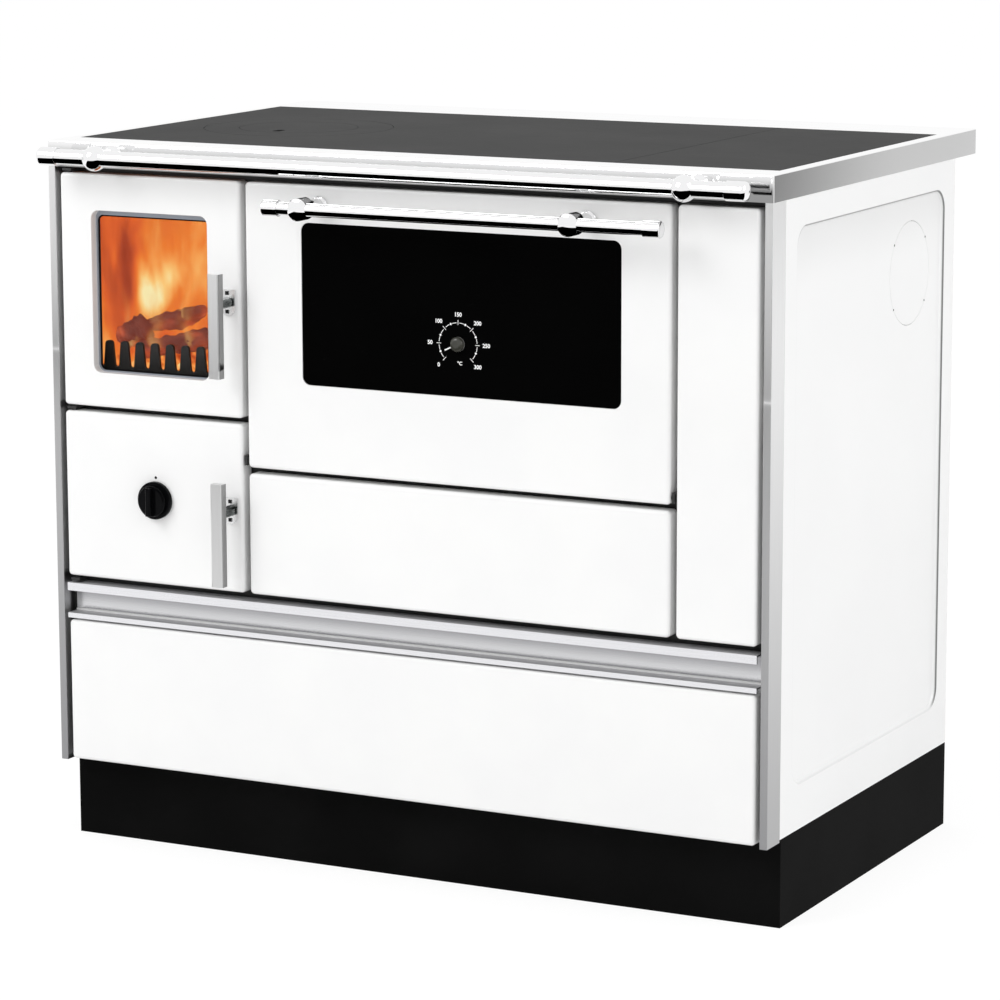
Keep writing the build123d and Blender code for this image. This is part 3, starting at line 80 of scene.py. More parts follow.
# ---------------------------------------------------------------- shader maths
class Shade:
    """One output socket of a material; sums and products of it add Math nodes."""

    def __init__(self, tree, socket=None):
        self.tree = tree
        self.socket = socket

    def node(self, kind, inputs=None, out=0, stops=None, **settings):
        """Adds a node: its settings and ramp stops first, then the values or links of its sockets."""
        made = self.tree.nodes.new(kind)
        for key, value in settings.items():
            setattr(made, key, value)
        if stops:
            ramp = made.color_ramp.elements
            while len(ramp) < len(stops):
                ramp.new(0.5)
            for element, (position, colour) in zip(ramp, stops):
                element.position = position
                element.color = (*colour, 1.0)
        for key, value in (inputs or {}).items():
            if isinstance(value, Shade):
                self.tree.links.new(value.socket, made.inputs[key])
            else:
                made.inputs[key].default_value = value
        return Shade(self.tree, made.outputs[out])

    def math(self, operation, *values):
        return self.node("ShaderNodeMath", dict(enumerate(values)), operation=operation)

    def __add__(self, other):
        return self.math("ADD", self, other)

    def __sub__(self, other):
        return self.math("SUBTRACT", self, other)

    def __rsub__(self, other):
        return self.math("SUBTRACT", other, self)

    def __mul__(self, other):
        return self.math("MULTIPLY", self, other)

    __radd__ = __add__
    __rmul__ = __mul__

    def absolute(self):
        return self.math("ABSOLUTE", self)

    def largest(self, other):
        return self.math("MAXIMUM", self, other)

    def between(self, low, high):
        """0 below low, 1 above high, smooth between."""
        ends = {"Value": self, "From Min": low, "From Max": high}
        return self.node("ShaderNodeMapRange", ends, interpolation_type="SMOOTHSTEP")

    def mix(self, low, high):
        """A colour from low to high, with this value as the factor."""
        return self.node("ShaderNodeMix", {0: self, 6: low, 7: high}, out=2, data_type="RGBA")

    def place(self, scale=(1, 1, 1), move=(0, 0, 0)):
        """Object coordinates in metres, stretched per axis."""
        where = self.node("ShaderNodeTexCoord", out=3)
        return self.node("ShaderNodeMapping", {"Vector": where, "Scale": scale, "Location": move})

    def axes(self):
        """The three object coordinates in metres, one by one."""
        return [self.node("ShaderNodeSeparateXYZ", {0: self.place()}, out=axis) for axis in range(3)]

    def noise(self, size, scale=(1, 1, 1), detail=3.0, rough=0.5, bend=0.0, move=(0, 0, 0)):
        """Noise with features of about a size in metres."""
        sockets = {"Scale": 1 / size, "Detail": detail, "Roughness": rough, "Distortion": bend}
        return self.node("ShaderNodeTexNoise", {"Vector": self.place(scale, move), **sockets})

    def streak(self, along):
        """The fine brushing of a metal along one axis."""
        stretch = [1, 1, 1]
        stretch["XYZ".index(along)] = 0.012
        return self.noise(0.0007, stretch, detail=4.0, rough=0.6)

    def bump(self, height, distance):
        return self.node("ShaderNodeBump", {"Height": height, "Distance": distance})


def grey(level, tint=(1, 1, 1)):
    """A colour with alpha from a brightness and a tint."""
    return (*(level * part for part in tint), 1.0)


def shaded(owner, output, surface):
    """Fills the node tree of a material or the world with one shader, made by surface, and its output."""
    owner.use_nodes = True
    tree = owner.node_tree
    tree.nodes.clear()
    shader = surface(Shade(tree))
    tree.links.new(shader.socket, tree.nodes.new(output).inputs["Surface"])
    return owner


def material(name, paint):
    """A material whose surface is the Principled shader that paint describes as sockets."""
    return shaded(
        bpy.data.materials.new(name),
        "ShaderNodeOutputMaterial",
        lambda s: s.node("ShaderNodeBsdfPrincipled", paint(s)),
    )


# ---------------------------------------------------------------- finishes
def white_enamel(s):
    """Glossy fired enamel: a faint cloudiness, orange peel and a hard clear surface."""
    cloud = s.noise(0.11, detail=2.0).between(0.3, 0.7)
    peel = s.noise(0.006, detail=1.0)
    wave = s.noise(0.05, detail=1.0, move=(3, 1, 2))
    return {
        "Base Color": cloud.mix(grey(0.885), grey(0.905, (1, 1, 0.995))),
        "Roughness": s.noise(0.03, detail=4.0) * 0.06 + 0.13,
        "IOR": 1.5,
        "Normal": s.bump(peel + wave * 3.0, 0.00004),
    }


def side_enamel(s):
    """The flatter powder enamel of the side sheets, with painted shade along the pressed field's outline and
    a painted shadow below its top.

    The field is a rectangle with round corners; outside is the distance from its outline, negative within it.
    """
    peel = s.noise(0.0035, detail=2.0)
    cloud = s.noise(0.2, detail=2.0).between(0.3, 0.7)
    y, z = s.axes()[1:]
    from_middle_y, from_middle_z = y - field_middle[0], z - field_middle[1]
    past_y = from_middle_y.absolute() - (field_half[0] - field_radius)
    past_z = from_middle_z.absolute() - (field_half[1] - field_radius)
    corner_y, corner_z = past_y.largest(0.0), past_z.largest(0.0)
    corner = s.math("SQRT", corner_y * corner_y + corner_z * corner_z)
    outside = corner + s.math("MINIMUM", past_y.largest(past_z), 0.0) - field_radius
    off_line = (outside + 0.5 * mm).absolute()
    high = from_middle_z.between(field_half[1] - 30 * mm, field_half[1] - 4 * mm)
    back = from_middle_y.between(field_half[0] - 20 * mm, field_half[0] - 4 * mm)
    # painted shade: a thin dark line round the field, strongest along its top and back edges
    painted_crease_shade = (1 - off_line.between(0.3 * mm, 1.5 * mm)) * (high.largest(back) * 0.72 + 0.1)
    near_top = from_middle_z.between(field_half[1] - 75 * mm, field_half[1])
    # painted shadow: a faint darkening inside the field just below its top edge
    below = near_top * (1 - outside.between(-1 * mm, 0.0))
    shade = painted_crease_shade.largest(below * 0.1)
    return {
        "Base Color": shade.mix(cloud.mix(grey(0.885), grey(0.9)), grey(0.02)),
        "Roughness": s.noise(0.02, detail=3.0) * 0.08 + 0.26,
        "Normal": s.bump(peel, 0.00005),
    }


def brushed(s, streak, tone, strength, rough, metal=1.0, dark=0.3, depth=0.000002):
    """The sockets of a brushed metal: its streaks darken the tone by strength and roughen it over a span."""
    lowest, span = rough
    return {
        "Base Color": (streak.between(0.3, 0.7) * strength).mix(tone, grey(dark)),
        "Metallic": metal,
        "Roughness": streak * span + lowest,
        "Normal": s.bump(streak, depth),
    }


def trim_aluminium(s):
    """Anodised strips: brushed upright, with painted light that makes them paler to the top, and painted
    shade that makes the face darker than the side.
    """
    y, z = s.axes()[1:]
    # painted light: both tones grow paler toward the top
    height = z.between(-0.05, 0.95)
    # painted shade: the front face is darker than the side
    face = 1 - (y - door_face).between(0.3 * mm, 1.3 * mm)
    painted_flank = height.mix(grey(0.4, (1, 1, 1.01)), grey(0.98))
    front = height.mix(grey(0.3, (1, 1, 1.03)), grey(0.86))
    return brushed(s, s.streak("Z"), face.mix(painted_flank, front), 0.05, (0.28, 0.08))


def pull_aluminium(s):
    """The drawer's pull: bright lips and rib, the rib a painted highlight, a recess with painted shade that
    darkens it toward the top, and painted matt grey where it faces up.
    """
    y, z = s.axes()[1:]
    depth, height = y - door_face, z - pull_low.z
    # painted shade: the recess darkens toward the top, under the upper lip
    recess = height.between(31 * mm, 58 * mm).mix(grey(0.8, (1, 1, 1.02)), grey(0.34, (1, 1, 1.04)))
    level = depth.between(3 * mm, 6 * mm).mix(grey(0.86, (0.99, 0.99, 1.02)), recess)
    # painted highlight: the rib is pale and mostly not metallic
    rib = depth.between(16.8 * mm, 17.4 * mm) * (1 - height.between(32.6 * mm, 32.9 * mm))
    # painted light: matt grey on the faces that look up, the lid's top and the ledge
    lid = (z - pull_high.z).between(-0.2 * mm, -0.05 * mm)
    off_ledge = (height - 30.5 * mm).absolute()
    ledge = (1 - off_ledge.between(0.05 * mm, 0.2 * mm)) * depth.between(0.3 * mm, 0.6 * mm)
    painted_upward_grey = lid.largest(ledge)
    tone = painted_upward_grey.mix(rib.mix(level, grey(0.98)), grey(0.5, (1, 1, 1.03)))
    return brushed(s, s.streak("X"), tone, 0.06, (0.2, 0.06), metal=1 - painted_upward_grey.largest(rib) * 0.85)


def handle_aluminium(s):
    """The door handles: brushed upright, the upper one painted paler as painted light, and the sides that
    look to the right painted darker as painted shade.
    """
    x, z = s.axes()[0], s.axes()[2]
    # painted shade on the side of the bar that looks to the right
    painted_flank = (x - handle_high.x).between(-0.9 * mm, -0.3 * mm)
    # painted light: the upper handle paler than the lower one
    front = z.between(0.45, 0.56).mix(grey(0.74), grey(0.92))
    return brushed(s, s.streak("Z"), painted_flank.mix(front, grey(0.36)), 0.06, (0.26, 0.06))


def plate_steel(s):
    """The latch plates: bright steel brushed sideways, with a few smears."""
    streak = s.streak("X")
    smear = s.noise(0.06, detail=3.0).between(0.35, 0.7)
    return {
        "Base Color": streak.between(0.3, 0.7).mix(grey(0.8256), grey(0.86, (1, 1, 1.005))),
        "Metallic": 1.0,
        "Roughness": streak * 0.06 + smear * 0.03 + 0.195,
        "Normal": s.bump(streak, 0.000002),
    }


def rim_steel(s):
    """The hob's polished surround: brushed along its length, with painted shade that darkens its front toward
    its lower edge.
    """
    y, z = s.axes()[1:]
    # painted shade: the front face darkens toward its lower edge, behind the rail
    front = 1 - (y - rim_low.y).between(0.3 * mm, 1.5 * mm)
    low = (rim_high.z - z).between(1 * mm, 21 * mm)
    tone = (front * low).mix(grey(0.93), grey(0.3))
    return brushed(s, s.streak("X"), tone, 0.04, (0.05, 0.04), dark=0.4, depth=0.0000003)


def chrome(s):
    """Mirror chrome with a breath of fingerprints."""
    smudge = s.noise(0.03, detail=5.0, rough=0.6).between(0.45, 0.75)
    return {
        "Base Color": grey(0.89, (1, 1, 1.005)),
        "Metallic": 1.0,
        "Roughness": smudge * 0.03 + 0.03,
        "Normal": s.bump(s.noise(0.02, detail=1.0), 0.000004),
    }


def hob_iron(s):
    """The ground hob: fine grinding marks, a cloudy heat tint and a soft sheen."""
    grind = s.noise(0.0011, (0.05, 1, 1), detail=4.0, rough=0.65)
    grain = s.noise(0.0016, detail=3.0)
    cloud = s.noise(0.17, detail=4.0, rough=0.55).between(0.3, 0.7)
    tone = cloud.mix(grey(0.022, (1, 0.99, 0.98)), grey(0.029))
    return {
        "Base Color": (grain.between(0.35, 0.75) * 0.2).mix(tone, grey(0.05)),
        "Roughness": grind * 0.16 + cloud * 0.06 + 0.52,
        "Specular IOR Level": 0.09,
        "Normal": s.bump(grind + grain, 0.00002),
    }


def cast_iron(s):
    """Rough sand-cast iron, near black, greyer on its high spots."""
    sand = s.noise(0.0022, detail=5.0, rough=0.7)
    lump = s.noise(0.02, detail=2.0)
    return {
        "Base Color": sand.between(0.4, 0.75).mix(grey(0.008), grey(0.022, (1, 0.96, 0.92))),
        "Metallic": 0.25,
        "Roughness": sand * 0.2 + 0.55,
        "Normal": s.bump(sand + lump, 0.00035),
    }


def sheet_steel(s):
    """Zinc-coated sheet with a faint crystal spangle."""
    spots = s.node("ShaderNodeTexVoronoi", {"Vector": s.place(), "Scale": 90.0}, out=1)
    tone = s.node("ShaderNodeSeparateColor", {"Color": spots})
    streak = s.noise(0.004, (1, 1, 0.1), detail=3.0)
    return {
        "Base Color": (tone * 0.6 + streak * 0.4).mix(grey(0.36), grey(0.52, (0.98, 1, 1.02))),
        "Metallic": 0.85,
        "Roughness": tone * 0.12 + 0.34,
        "Normal": s.bump(streak, 0.00004),
    }


def hot_steel(s):
    """Mild steel of the fire's box, browned and sooted by heat."""
    soot = s.noise(0.09, detail=5.0, rough=0.6).between(0.35, 0.65)
    scale = s.noise(0.004, detail=4.0)
    return {
        "Base Color": soot.mix(grey(0.1, (1, 0.8, 0.66)), grey(0.03)),
        "Metallic": 0.35,
        "Roughness": scale * 0.2 + 0.5,
        "Normal": s.bump(scale, 0.00015),
    }


def firebrick(s):
    """Pressed fireclay: speckled, pitted and smoked."""
    speck = s.noise(0.0025, detail=3.0)
    pit = s.noise(0.006, detail=4.0, rough=0.7)
    smoke = s.noise(0.09, detail=4.0).between(0.35, 0.7)
    clay = speck.between(0.35, 0.7).mix(grey(0.5, (1, 0.8, 0.58)), grey(0.62, (1, 0.86, 0.68)))
    return {
        "Base Color": (smoke * 0.55).mix(clay, grey(0.12, (1, 0.86, 0.75))),
        "Roughness": 0.92,
        "Normal": s.bump(pit + speck * 0.4, 0.0006),
    }


def oven_enamel(s):
    """Dark oven enamel with pale flecks."""
    cells = s.node("ShaderNodeTexVoronoi", {"Vector": s.place(), "Scale": 330.0})
    fleck = 1 - cells.between(0.12, 0.2)
    return {
        "Base Color": fleck.mix(grey(0.022, (0.9, 0.95, 1.1)), grey(0.32)),
        "Roughness": s.noise(0.02) * 0.08 + 0.16,
        "Normal": s.bump(s.noise(0.008, detail=1.0), 0.00005),
    }


def clear_glass(s):
    """Clear heat-proof glass with a faint uneven haze in its alpha."""
    haze = s.noise(0.05, detail=4.0).between(0.4, 0.8)
    return {
        "Base Color": grey(0.05, (1, 0.9, 0.8)),
        "Roughness": 0.03,
        "Alpha": haze * 0.04 + 0.03,
    }


def black_glass(s):
    """Black glass of the oven door: deep, flat and barely wavy."""
    return {
        "Specular IOR Level": 0.0,
        "Base Color": s.noise(0.1).mix(grey(0.0012), grey(0.002)),
        "Roughness": s.noise(0.02, detail=4.0).between(0.4, 0.8) * 0.02 + 0.03,
        "Normal": s.bump(s.noise(0.12, detail=0.0), 0.00001),
    }


def dial_grey(s):
    """The dark olive cap of the thermometer, and the needle's blade beyond it painted white."""
    grain = s.noise(0.0008, detail=2.0)
    x, z = s.axes()[0] - dial_middle[0], s.axes()[2] - dial_middle[2]
    blade = (x * x + z * z).between((8.6 * mm) ** 2, (9.0 * mm) ** 2)
    cap = s.noise(0.006).mix(grey(0.03, (1, 1, 0.78)), grey(0.05, (1, 1, 0.82)))
    return {
        "Base Color": blade.mix(cap, grey(0.9)),
        "Roughness": grain * 0.08 + 0.14,
        "Normal": s.bump(grain, 0.00001),
    }


flame_colours = [
    (0.0, (0.2, 0.03, 0.015)),
    (0.22, (0.42, 0.06, 0.022)),
    (0.42, (0.74, 0.125, 0.028)),
    (0.58, (0.87, 0.215, 0.035)),
    (0.72, (0.95, 0.37, 0.09)),
    (0.86, (1.0, 0.6, 0.2)),
    (1.0, (1.0, 0.86, 0.45)),
]


def burning(s, glow, stops):
    """A surface that only glows, coloured by its heat."""
    return {
        "Base Color": grey(0.0),
        "Roughness": 1.0,
        "Specular IOR Level": 0.0,
        "Emission Color": s.node("ShaderNodeValToRGB", {"Fac": glow}, stops=stops),
        "Emission Strength": 1.0,
    }


def flame_curtain(s):
    """The body of the fire: the heat of each point, licked by upright noise."""
    heat = s.node("ShaderNodeAttribute", attribute_name="warmth", out=2)
    lick = s.noise(0.035, (1, 1, 0.35), detail=2.0, rough=0.45, bend=0.8)
    wisp = s.noise(0.012, (1, 1, 0.3), detail=2.0, bend=0.6)
    return burning(s, heat + (lick - 0.5) * 0.5 + (wisp - 0.5) * 0.22, flame_colours)


def flame_tongue(s):
    """A thin lick of flame: bright at its heart, gone at its edges and its tip."""
    heat = s.node("ShaderNodeAttribute", attribute_name="warmth", out=2)
    lick = s.noise(0.02, (1, 1, 0.3), detail=2.0, bend=0.7)
    paint = burning(s, heat * 0.4 + lick * 0.3 + 0.34, flame_colours)
    paint["Alpha"] = heat.between(0.0, 1.0) * lick.between(0.3, 0.65) * 0.34
    return paint


def charred_wood(s):
    """Burning logs: dark red char that glows where both a fine and a broad noise are high."""
    crack = s.noise(0.024, (1, 0.6, 1), detail=2.0, rough=0.45, bend=0.6)
    heat = s.noise(0.045, detail=1.0, move=(0.3, 0, 0.1))
    glow = crack.between(0.35, 0.8) * 0.5 + heat.between(0.35, 0.75) * 0.5
    stops = [
        (0.0, (0.13, 0.022, 0.014)),
        (0.35, (0.2, 0.034, 0.018)),
        (0.65, (0.42, 0.065, 0.024)),
        (1.0, (0.8, 0.16, 0.045)),
    ]
    paint = burning(s, glow, stops)
    paint["Base Color"] = crack.mix(grey(0.02), grey(0.07, (1, 0.8, 0.7)))
    paint["Normal"] = s.bump(crack, 0.002)
    return paint


def ember_bed(s):
    """Live embers: white-hot lumps with dark red between them."""
    lump = s.noise(0.011, detail=3.0, rough=0.6)
    drift = s.noise(0.05, detail=1.0)
    stops = [
        (0.0, (0.16, 0.02, 0.01)),
        (0.35, (0.6, 0.09, 0.02)),
        (0.6, (0.95, 0.3, 0.06)),
        (0.8, (1.0, 0.62, 0.22)),
        (1.0, (1.0, 0.9, 0.7)),
    ]
    paint = burning(s, lump * 1.1 + drift * 0.9 - 0.5, stops)
    paint["Normal"] = s.bump(lump, 0.003)
    return paint


def cold_ash(s):
    """Pale grey wood ash with bits of charcoal."""
    powder = s.noise(0.004, detail=5.0, rough=0.7)
    bits = s.noise(0.012, detail=2.0).between(0.6, 0.66)
    return {
        "Base Color": bits.mix(powder.mix(grey(0.32, (1, 0.98, 0.95)), grey(0.5)), grey(0.03)),
        "Roughness": 1.0,
        "Normal": s.bump(powder, 0.001),
    }


def grained(grain, tones, rough, depth, cloud=None, spread=None, **fixed):
    """The paint of a simple finish from a fine grain, given as the values of a noise.

    The grain raises the surface by depth and adds to the lowest roughness. The tone goes from the first to
    the second with it, or with a broader cloud, sharpened where a spread is given.
    """
    def paint(s):
        fine = s.noise(*grain)
        broad = s.noise(*cloud) if cloud else fine
        if spread:
            broad = broad.between(*spread)
        lowest, span = rough
        return {
            "Base Color": broad.mix(*tones),
            "Roughness": fine * span + lowest if span else lowest,
            "Normal": s.bump(fine, depth),
            **{socket.replace("_", " "): value for socket, value in fixed.items()},
        }

    return paint


even = (1, 1, 1)
soft = (0.3, 0.7)
simple_paints = {
    # oiled steel of the latch spindles, with a green cast
    "spindle_steel": grained(
        (0.0009, (1, 0.05, 1), 3.0), (grey(0.13, (0.92, 1, 0.98)), grey(0.24, (0.92, 1, 0.98))), (0.22, 0.1),
        0.00001, Metallic=1.0,
    ),
    # fine textured black powder coat
    "black_paint": grained(
        (0.0012, even, 3.0), (grey(0.003), grey(0.005)), (0.6, 0.12), 0.00005,
        cloud=(0.15, even, 2.0), spread=soft, Specular_IOR_Level=0.03,
    ),
    # heat-proof dark paint on the frame behind the doors
    "dark_steel": grained(
        (0.0015, even, 3.0), (grey(0.022), grey(0.032)), (0.42, 0.15), 0.00006,
        cloud=(0.08, even, 3.0), spread=soft,
    ),
    # glossy moulded phenolic
    "black_plastic": grained(
        (0.001, even, 2.0), (grey(0.002), grey(0.004, (0.9, 0.95, 1.2))), (0.12, 0.06), 0.00001,
        cloud=(0.02,), Specular_IOR_Level=0.05,
    ),
    # screen-printed white of the scale, a little uneven
    "dial_white": grained(
        (0.0006, even, 2.0), (grey(0.86), grey(0.98)), (0.5, 0), 0.00001, spread=(0.2, 0.6),
    ),
    # blue-grey satin lacquer of the frame inside the fire door's window
    "bezel_grey": grained(
        (0.0012, even, 2.0), (grey(0.3, (0.92, 1, 1.14)), grey(0.36, (0.92, 1, 1.14))), (0.33, 0.1), 0.00002,
        cloud=(0.05,),
    ),
    # braided glass cord, grey with lighter strands
    "rope": grained(
        (0.0012, even, 3.0), (grey(0.1), grey(0.3, (1, 0.98, 0.93))), (0.95, 0), 0.0003, spread=soft,
    ),
    "screw_zinc": grained(
        (0.0006, even, 3.0), (grey(0.45), grey(0.62, (1, 1, 0.96))), (0.24, 0.15), 0.00001, Metallic=1.0,
    ),
    "black_oxide": grained(
        (0.0005, even, 2.0), (grey(0.006), grey(0.014)), (0.3, 0.15), 0.00001, Metallic=0.4,
    ),
    # black ceramic print, and painted shade for the dark of small gaps
    "black_print": grained(
        (0.0008, even, 2.0), (grey(0.002), grey(0.006)), (0.4, 0.1), 0.000005, Specular_IOR_Level=0.1,
    ),
}
paints = (
    white_enamel, side_enamel, trim_aluminium, pull_aluminium, handle_aluminium, plate_steel, rim_steel,
    chrome, hob_iron, cast_iron, sheet_steel, hot_steel, firebrick, oven_enamel, clear_glass, black_glass,
    dial_grey, flame_curtain, flame_tongue, charred_wood, ember_bed, cold_ash,
)
finishes = {name: material(name, paint) for name, paint in simple_paints.items()}
finishes.update({paint.__name__: material(paint.__name__, paint) for paint in paints})

dressed = {
    "white_enamel": (
        "right_panel", "cleaning_cover", "fire_door_panel", "ash_door_panel", "oven_door_panel",
        "drawer_front",
    ),
    "side_enamel": ("side_panel_left", "side_panel_right", "flue_blank"),
    "rim_steel": ("top_rim",),
    "plate_steel": ("fire_latch_plate", "ash_latch_plate"),
    "spindle_steel": ("fire_latch_spindle", "ash_latch_spindle"),
    "trim_aluminium": ("corner_trims",),
    "pull_aluminium": ("drawer_pull",),
    "handle_aluminium": ("fire_handle_bar", "ash_handle_bar"),
    "chrome": ("towel_rail", "towel_rail_fittings", "oven_rail", "oven_rail_fittings", "oven_rack"),
    "hob_iron": ("hob_main", "hob_side", "hob_ring", "hob_lid"),
    "cast_iron": ("grate", "log_guard"),
    "black_paint": ("plinth",),
    "dark_steel": ("front_frame", "hinge_brackets", "fire_door_frame", "ash_door_frame", "soot_hatch"),
    "sheet_steel": (
        "base_panel", "back_panel", "flue_collar", "bypass_flap", "drawer_box", "drawer_runners",
        "drawer_tunnel", "air_disc", "oven_door_frame", "thermometer_body",
    ),
    "hot_steel": ("firebox_shell", "ash_pan", "smoke_casing", "flue_box"),
    "firebrick": ("firebricks",),
    "oven_enamel": ("oven_box", "baking_tray"),
    "clear_glass": ("fire_door_glass",),
    "black_glass": ("oven_door_glass",),
    "black_plastic": ("air_knob",),
    "dial_grey": ("thermometer_needle",),
    "bezel_grey": ("fire_door_bezel",),
    "rope": ("fire_door_gasket", "ash_door_gasket", "oven_door_gasket"),
}
for finish, names in dressed.items():
    for name in names:
        nodes[name].data.materials.clear()
        nodes[name].data.materials.append(finishes[finish])


# ---------------------------------------------------------------- surfaces on grids
def placed(name, data):
    """A new object that shows a mesh, a text, a lamp or a camera in the scene."""
    made = bpy.data.objects.new(name, data)
    bpy.context.scene.collection.objects.link(made)
    return made


def sheet_faces(rows, columns, ring):
    """The corners of the four-sided faces of a grid of points; a ring joins its last column to its first."""
    number = np.arange(rows * columns).reshape(rows, columns)
    if ring:
        number = np.concatenate([number, number[:, :1]], axis=1)
    corners = (number[:-1, :-1], number[:-1, 1:], number[1:, 1:], number[1:, :-1])
    return np.stack(corners, axis=-1).reshape(-1, 4)


def disc_grid(place, radius, axis, count=32):
    """A flat round patch in polar form that faces forward, for axis "Y", or to the right, for "X"."""
    turn, reach = np.meshgrid(np.linspace(2 * np.pi, 0, count), np.linspace(0, radius, 3))
    flat, over = reach * np.cos(turn), reach * np.sin(turn)
    x, y, z = place
    if axis == "Y":
        return np.stack([x + flat, y + 0 * flat, z + over], -1)
    return np.stack([x + 0 * flat, y + flat, z + over], -1)


def grid_piece(name, points, finish, body, ring=False, heat=None):
    """A piece from a grid of points (rows, columns, 3), or from many alike (copies, rows, columns, 3).

    Points that meet at a seam or a pole become one, and a closed ring's faces look outward.
    """
    copies = points if points.ndim == 4 else points[None]
    count, rows, columns = copies.shape[:3]
    one = sheet_faces(rows, columns, ring)
    faces = np.concatenate([one + copy * rows * columns for copy in range(count)])
    mesh = bpy.data.meshes.new(name)
    mesh.from_pydata(copies.reshape(-1, 3).tolist(), [], faces.tolist())
    if heat is not None:
        warmth = mesh.attributes.new("warmth", "FLOAT", "POINT")
        warmth.data.foreach_set("value", heat.astype(np.float32).ravel())
    work = bmesh.new()
    work.from_mesh(mesh)
    bmesh.ops.remove_doubles(work, verts=work.verts, dist=1e-6)
    if ring:
        bmesh.ops.recalc_face_normals(work, faces=work.faces)
    work.to_mesh(mesh)
    work.free()
    return finished(name, mesh, finish, body)


def finished(name, mesh, finish, body):
    """Makes an object of a mesh: smooth, dressed and riding its body."""
    mesh.shade_smooth()
    mesh.materials.append(finishes[finish])
    piece = placed(name, mesh)
    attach(piece, body)
    return piece


# ---------------------------------------------------------------- the fire
guard_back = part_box("log_guard")[1].y
grate_low, grate_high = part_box("grate")
bezel_low, bezel_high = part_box("fire_door_bezel")
hob_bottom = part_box("hob_main")[0].z
sight_slope = (-0.63, -0.161)  # how far x and z change with depth along the main view
glass_margin = 7.6 * mm


def in_window(x, y, z):
    """Where the main view sees a point of the fire in the door's window: 0 to 1 across and up."""
    behind = y - bezel_high.y
    width = bezel_high.x - bezel_low.x - 2 * glass_margin
    height = bezel_high.z - bezel_low.z - 2 * glass_margin
    across = (x - sight_slope[0] * behind - bezel_low.x - glass_margin) / width
    up = (z - sight_slope[1] * behind - bezel_low.z - glass_margin) / height
    return across, up


def spots(across, up, listed):
    """A sum of soft round spots, each with its centre, its two widths and its gain."""
    total = np.zeros_like(across)
    for centre_x, centre_z, width, height, gain in listed:
        total += gain * np.exp(-((across - centre_x) / width) ** 2 - ((up - centre_z) / height) ** 2)
    return total


def model_frame(x, y, z):
    """Points in millimetres from the stove's middle, its doors' face and the floor, in the frame's metres."""
    return np.stack([x * mm, y * mm + door_face, z * mm], -1)


def build_flame_curtain():
    """The body of the fire: an upright sheet from the front left to the back right of the firebox.

    Two sines sway it. Its heat rises from left to right in the window. Soft spots add the pale heart, the
    dark smoke at the left and the glow behind the teeth of the guard.
    """
    u, v = np.meshgrid(np.linspace(0, 1, 150), np.linspace(0, 1, 130))
    sway = np.sin(9 * u + 4 * v) * 0.5 + np.sin(17 * u - 6 * v + 1) * 0.25
    x = grate_low.x - 0.6 * mm + (grate_high.x - grate_low.x - 4 * mm) * u + 3 * mm * sway * u * (1 - u)
    y = guard_back + 3 * mm + 225 * mm * u + 9 * mm * sway * np.minimum(1, 8 * u)
    z = grate_high.z + 6 * mm + (hob_bottom - grate_high.z - 30 * mm) * v
    across, up = in_window(x, y, z)
    heat = 0.32 + 0.34 * np.clip(across, 0, 1) + spots(across, up, [
        (0.24, 0.78, 0.07, 0.24, -0.2),
        (0.27, 0.5, 0.05, 0.1, -0.14),
        (0.03, 0.86, 0.07, 0.14, -0.06),
        (0.12, 0.55, 0.04, 0.12, -0.08),
        (0.0, 0.36, 0.07, 0.2, 0.26),
        (0.13, 0.7, 0.03, 0.1, 0.12),
        (0.4, 0.5, 0.08, 0.18, 0.44),
        (0.51, 0.48, 0.11, 0.15, 0.44),
        (0.64, 0.63, 0.11, 0.11, 0.28),
        (0.36, 0.68, 0.04, 0.1, 0.16),
        (0.5, 0.74, 0.06, 0.1, 0.12),
        (0.88, 0.72, 0.18, 0.16, 0.1),
        (0.5, 0.9, 0.14, 0.1, 0.06),
        (0.05, 0.12, 0.09, 0.12, 0.34),
        (0.45, 0.06, 0.25, 0.06, 0.4),
        (0.98, 0.3, 0.07, 0.2, -0.1),
    ])
    grid_piece("flame_curtain", np.stack([x, y, z], -1), "flame_curtain", "stove", heat=heat)


def build_flame_tongues():
    """Single licks: each narrows to its tip, leans and sways, and its heat falls off to its edges.

    Each is listed with its middle x and y, base, height, half width, lean and phase, in millimetres.
    """
    u, v = np.meshgrid(np.linspace(-1, 1, 25), np.linspace(0, 1, 60))
    licks = [
        (-398, 50, 606, 80, 16, 4, 0.0),
        (-362, 62, 620, 62, 26, 10, 2.0),
        (-334, 90, 626, 66, 30, 14, 4.0),
        (-304, 95, 614, 60, 26, 12, 1.0),
        (-382, 46, 600, 46, 22, 5, 5.0),
        (-350, 46, 600, 42, 28, 6, 3.0),
        (-316, 52, 602, 48, 28, 4, 0.7),
    ]
    grids, heats = [], []
    for middle_x, middle_y, base, height, width, lean, phase in licks:
        half = width * np.sqrt(v + 0.12) * (1 - v) ** 0.6
        bend = lean * v ** 1.4 + 5 * np.sin(5 * v + phase) * v
        x = middle_x + bend + half * u
        y = middle_y + 6 * np.sin(4 * v + phase) + 5 * u * u
        z = base + height * v + 0 * u
        grids.append(model_frame(x, y, z))
        heats.append((1 - u * u) ** 1.2 * (1 - v) ** 0.5 * np.minimum(1, v * 7))
    grid_piece("flame_tongues", np.stack(grids), "flame_tongue", "stove", heat=np.stack(heats))


